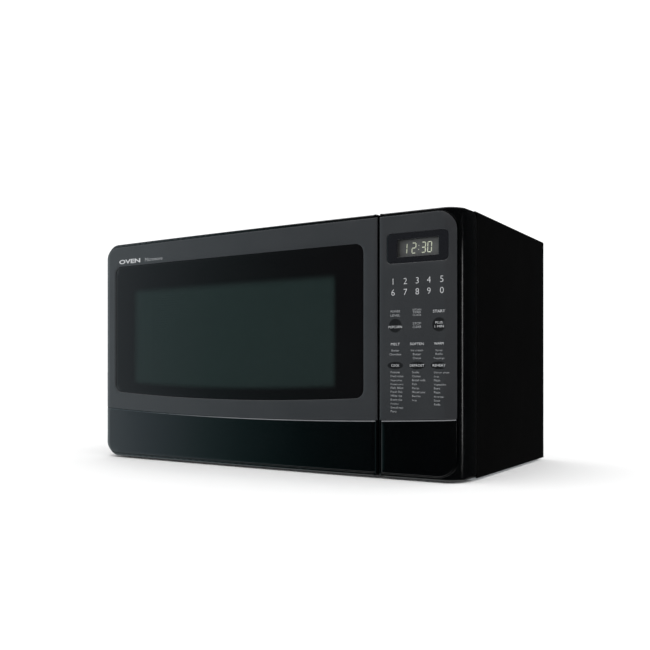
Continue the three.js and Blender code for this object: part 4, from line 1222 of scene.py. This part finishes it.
def world():
    """A pale, even studio, whose mirror image is brightest on the left and overhead."""
    w = bpy.data.worlds.new("studio")
    w.use_nodes = True
    g = Graph(w.node_tree)

    def by_degrees(share, stops):
        ramp = g.node("ShaderNodeValToRGB")
        elements = ramp.color_ramp.elements
        for degrees, color in stops:
            at_end = abs(degrees) == 180
            stop = elements[0 if degrees < 0 else -1] if at_end else elements.new((degrees + 180) / 360)
            stop.color = (*color, 1)
        g.put(ramp.inputs[0], share)
        return ramp.outputs[0]

    x, y, up = g.axes(g.node("ShaderNodeTexCoord").outputs["Generated"])
    turn = g.math("ARCTAN2", x, g.math("MULTIPLY", y, -1.0))
    share = g.ramp(turn, 0.0, 1.0, (-math.pi, math.pi))
    strip_stops = [(-180, (0, 0, 0)), *[(at, (v, v, v)) for at, v in STRIP], (180, (0, 0, 0))]
    low, high = STRIP_REACH
    reach = g.math("MULTIPLY", g.ramp(up, 0.0, 1.0, (low, low + STRIP_SOFT)),
                   g.ramp(up, 0.0, 1.0, (high, high - STRIP_SOFT)))
    strip = g.mix(reach, (0, 0, 0, 1), by_degrees(share, strip_stops))
    ends = g.math("ADD", g.ramp(up, 0.0, OVERHEAD_BRIGHT, (0.5, 0.85)),
                  g.ramp(up, 0.0, BELOW_BRIGHT, (-0.4, -0.8)))
    mirrored = g.mix(1.0, by_degrees(share, STUDIO_RING), ends, "LIGHTEN")
    mirrored = g.mix(1.0, mirrored, strip, "ADD")
    glossy = g.node("ShaderNodeLightPath").outputs["Is Glossy Ray"]
    seen = g.mix(glossy, (*[STUDIO_LIGHT] * 3, 1), mirrored)
    g.put(g.tree.nodes["Background"].inputs["Color"], seen)
    bpy.context.scene.world = w


def studio():
    world()
    floor()
    camera()
    area_light("overhead", (0.0, -0.5, 3.0), (0, -0.3, 0), (3.0, 3.0), 22)
    bpy.context.scene.view_settings.view_transform = "Standard"


# Widths of the eased edges of the parts that keep their CAD mesh.
BEVELS = {
    0.3: "waveguide_cover magnetron fan_blade control_board inner_pane",
    0.4: "base_plate rear_panel front_plate filter_board",
    0.5: "oven_cavity roller_ring release_lever latch_bracket latch_head thermostat hinge_lower"
         " hinge_upper",
    0.6: "waveguide lamp_socket fan_shroud fan_motor roller_1 roller_2 roller_3 choke_frame",
    0.7: "cabinet_shell turntable_coupler interlock_switch_1 interlock_switch_2 interlock_switch_3",
    0.8: "turntable_motor choke_cover cord_gland",
    1.0: "capacitor",
    1.5: "transformer",
}
for width, names in BEVELS.items():
    for node_name in names.split():
        bevel(NODES[node_name], width)

door_skins()
control_skins()
door_moulding()
control_moulding()
shell_hem()
control_legends()
door_legend()
clock_digits()
perforated_screen()
feet()
tray()
rear_screws()
studio()
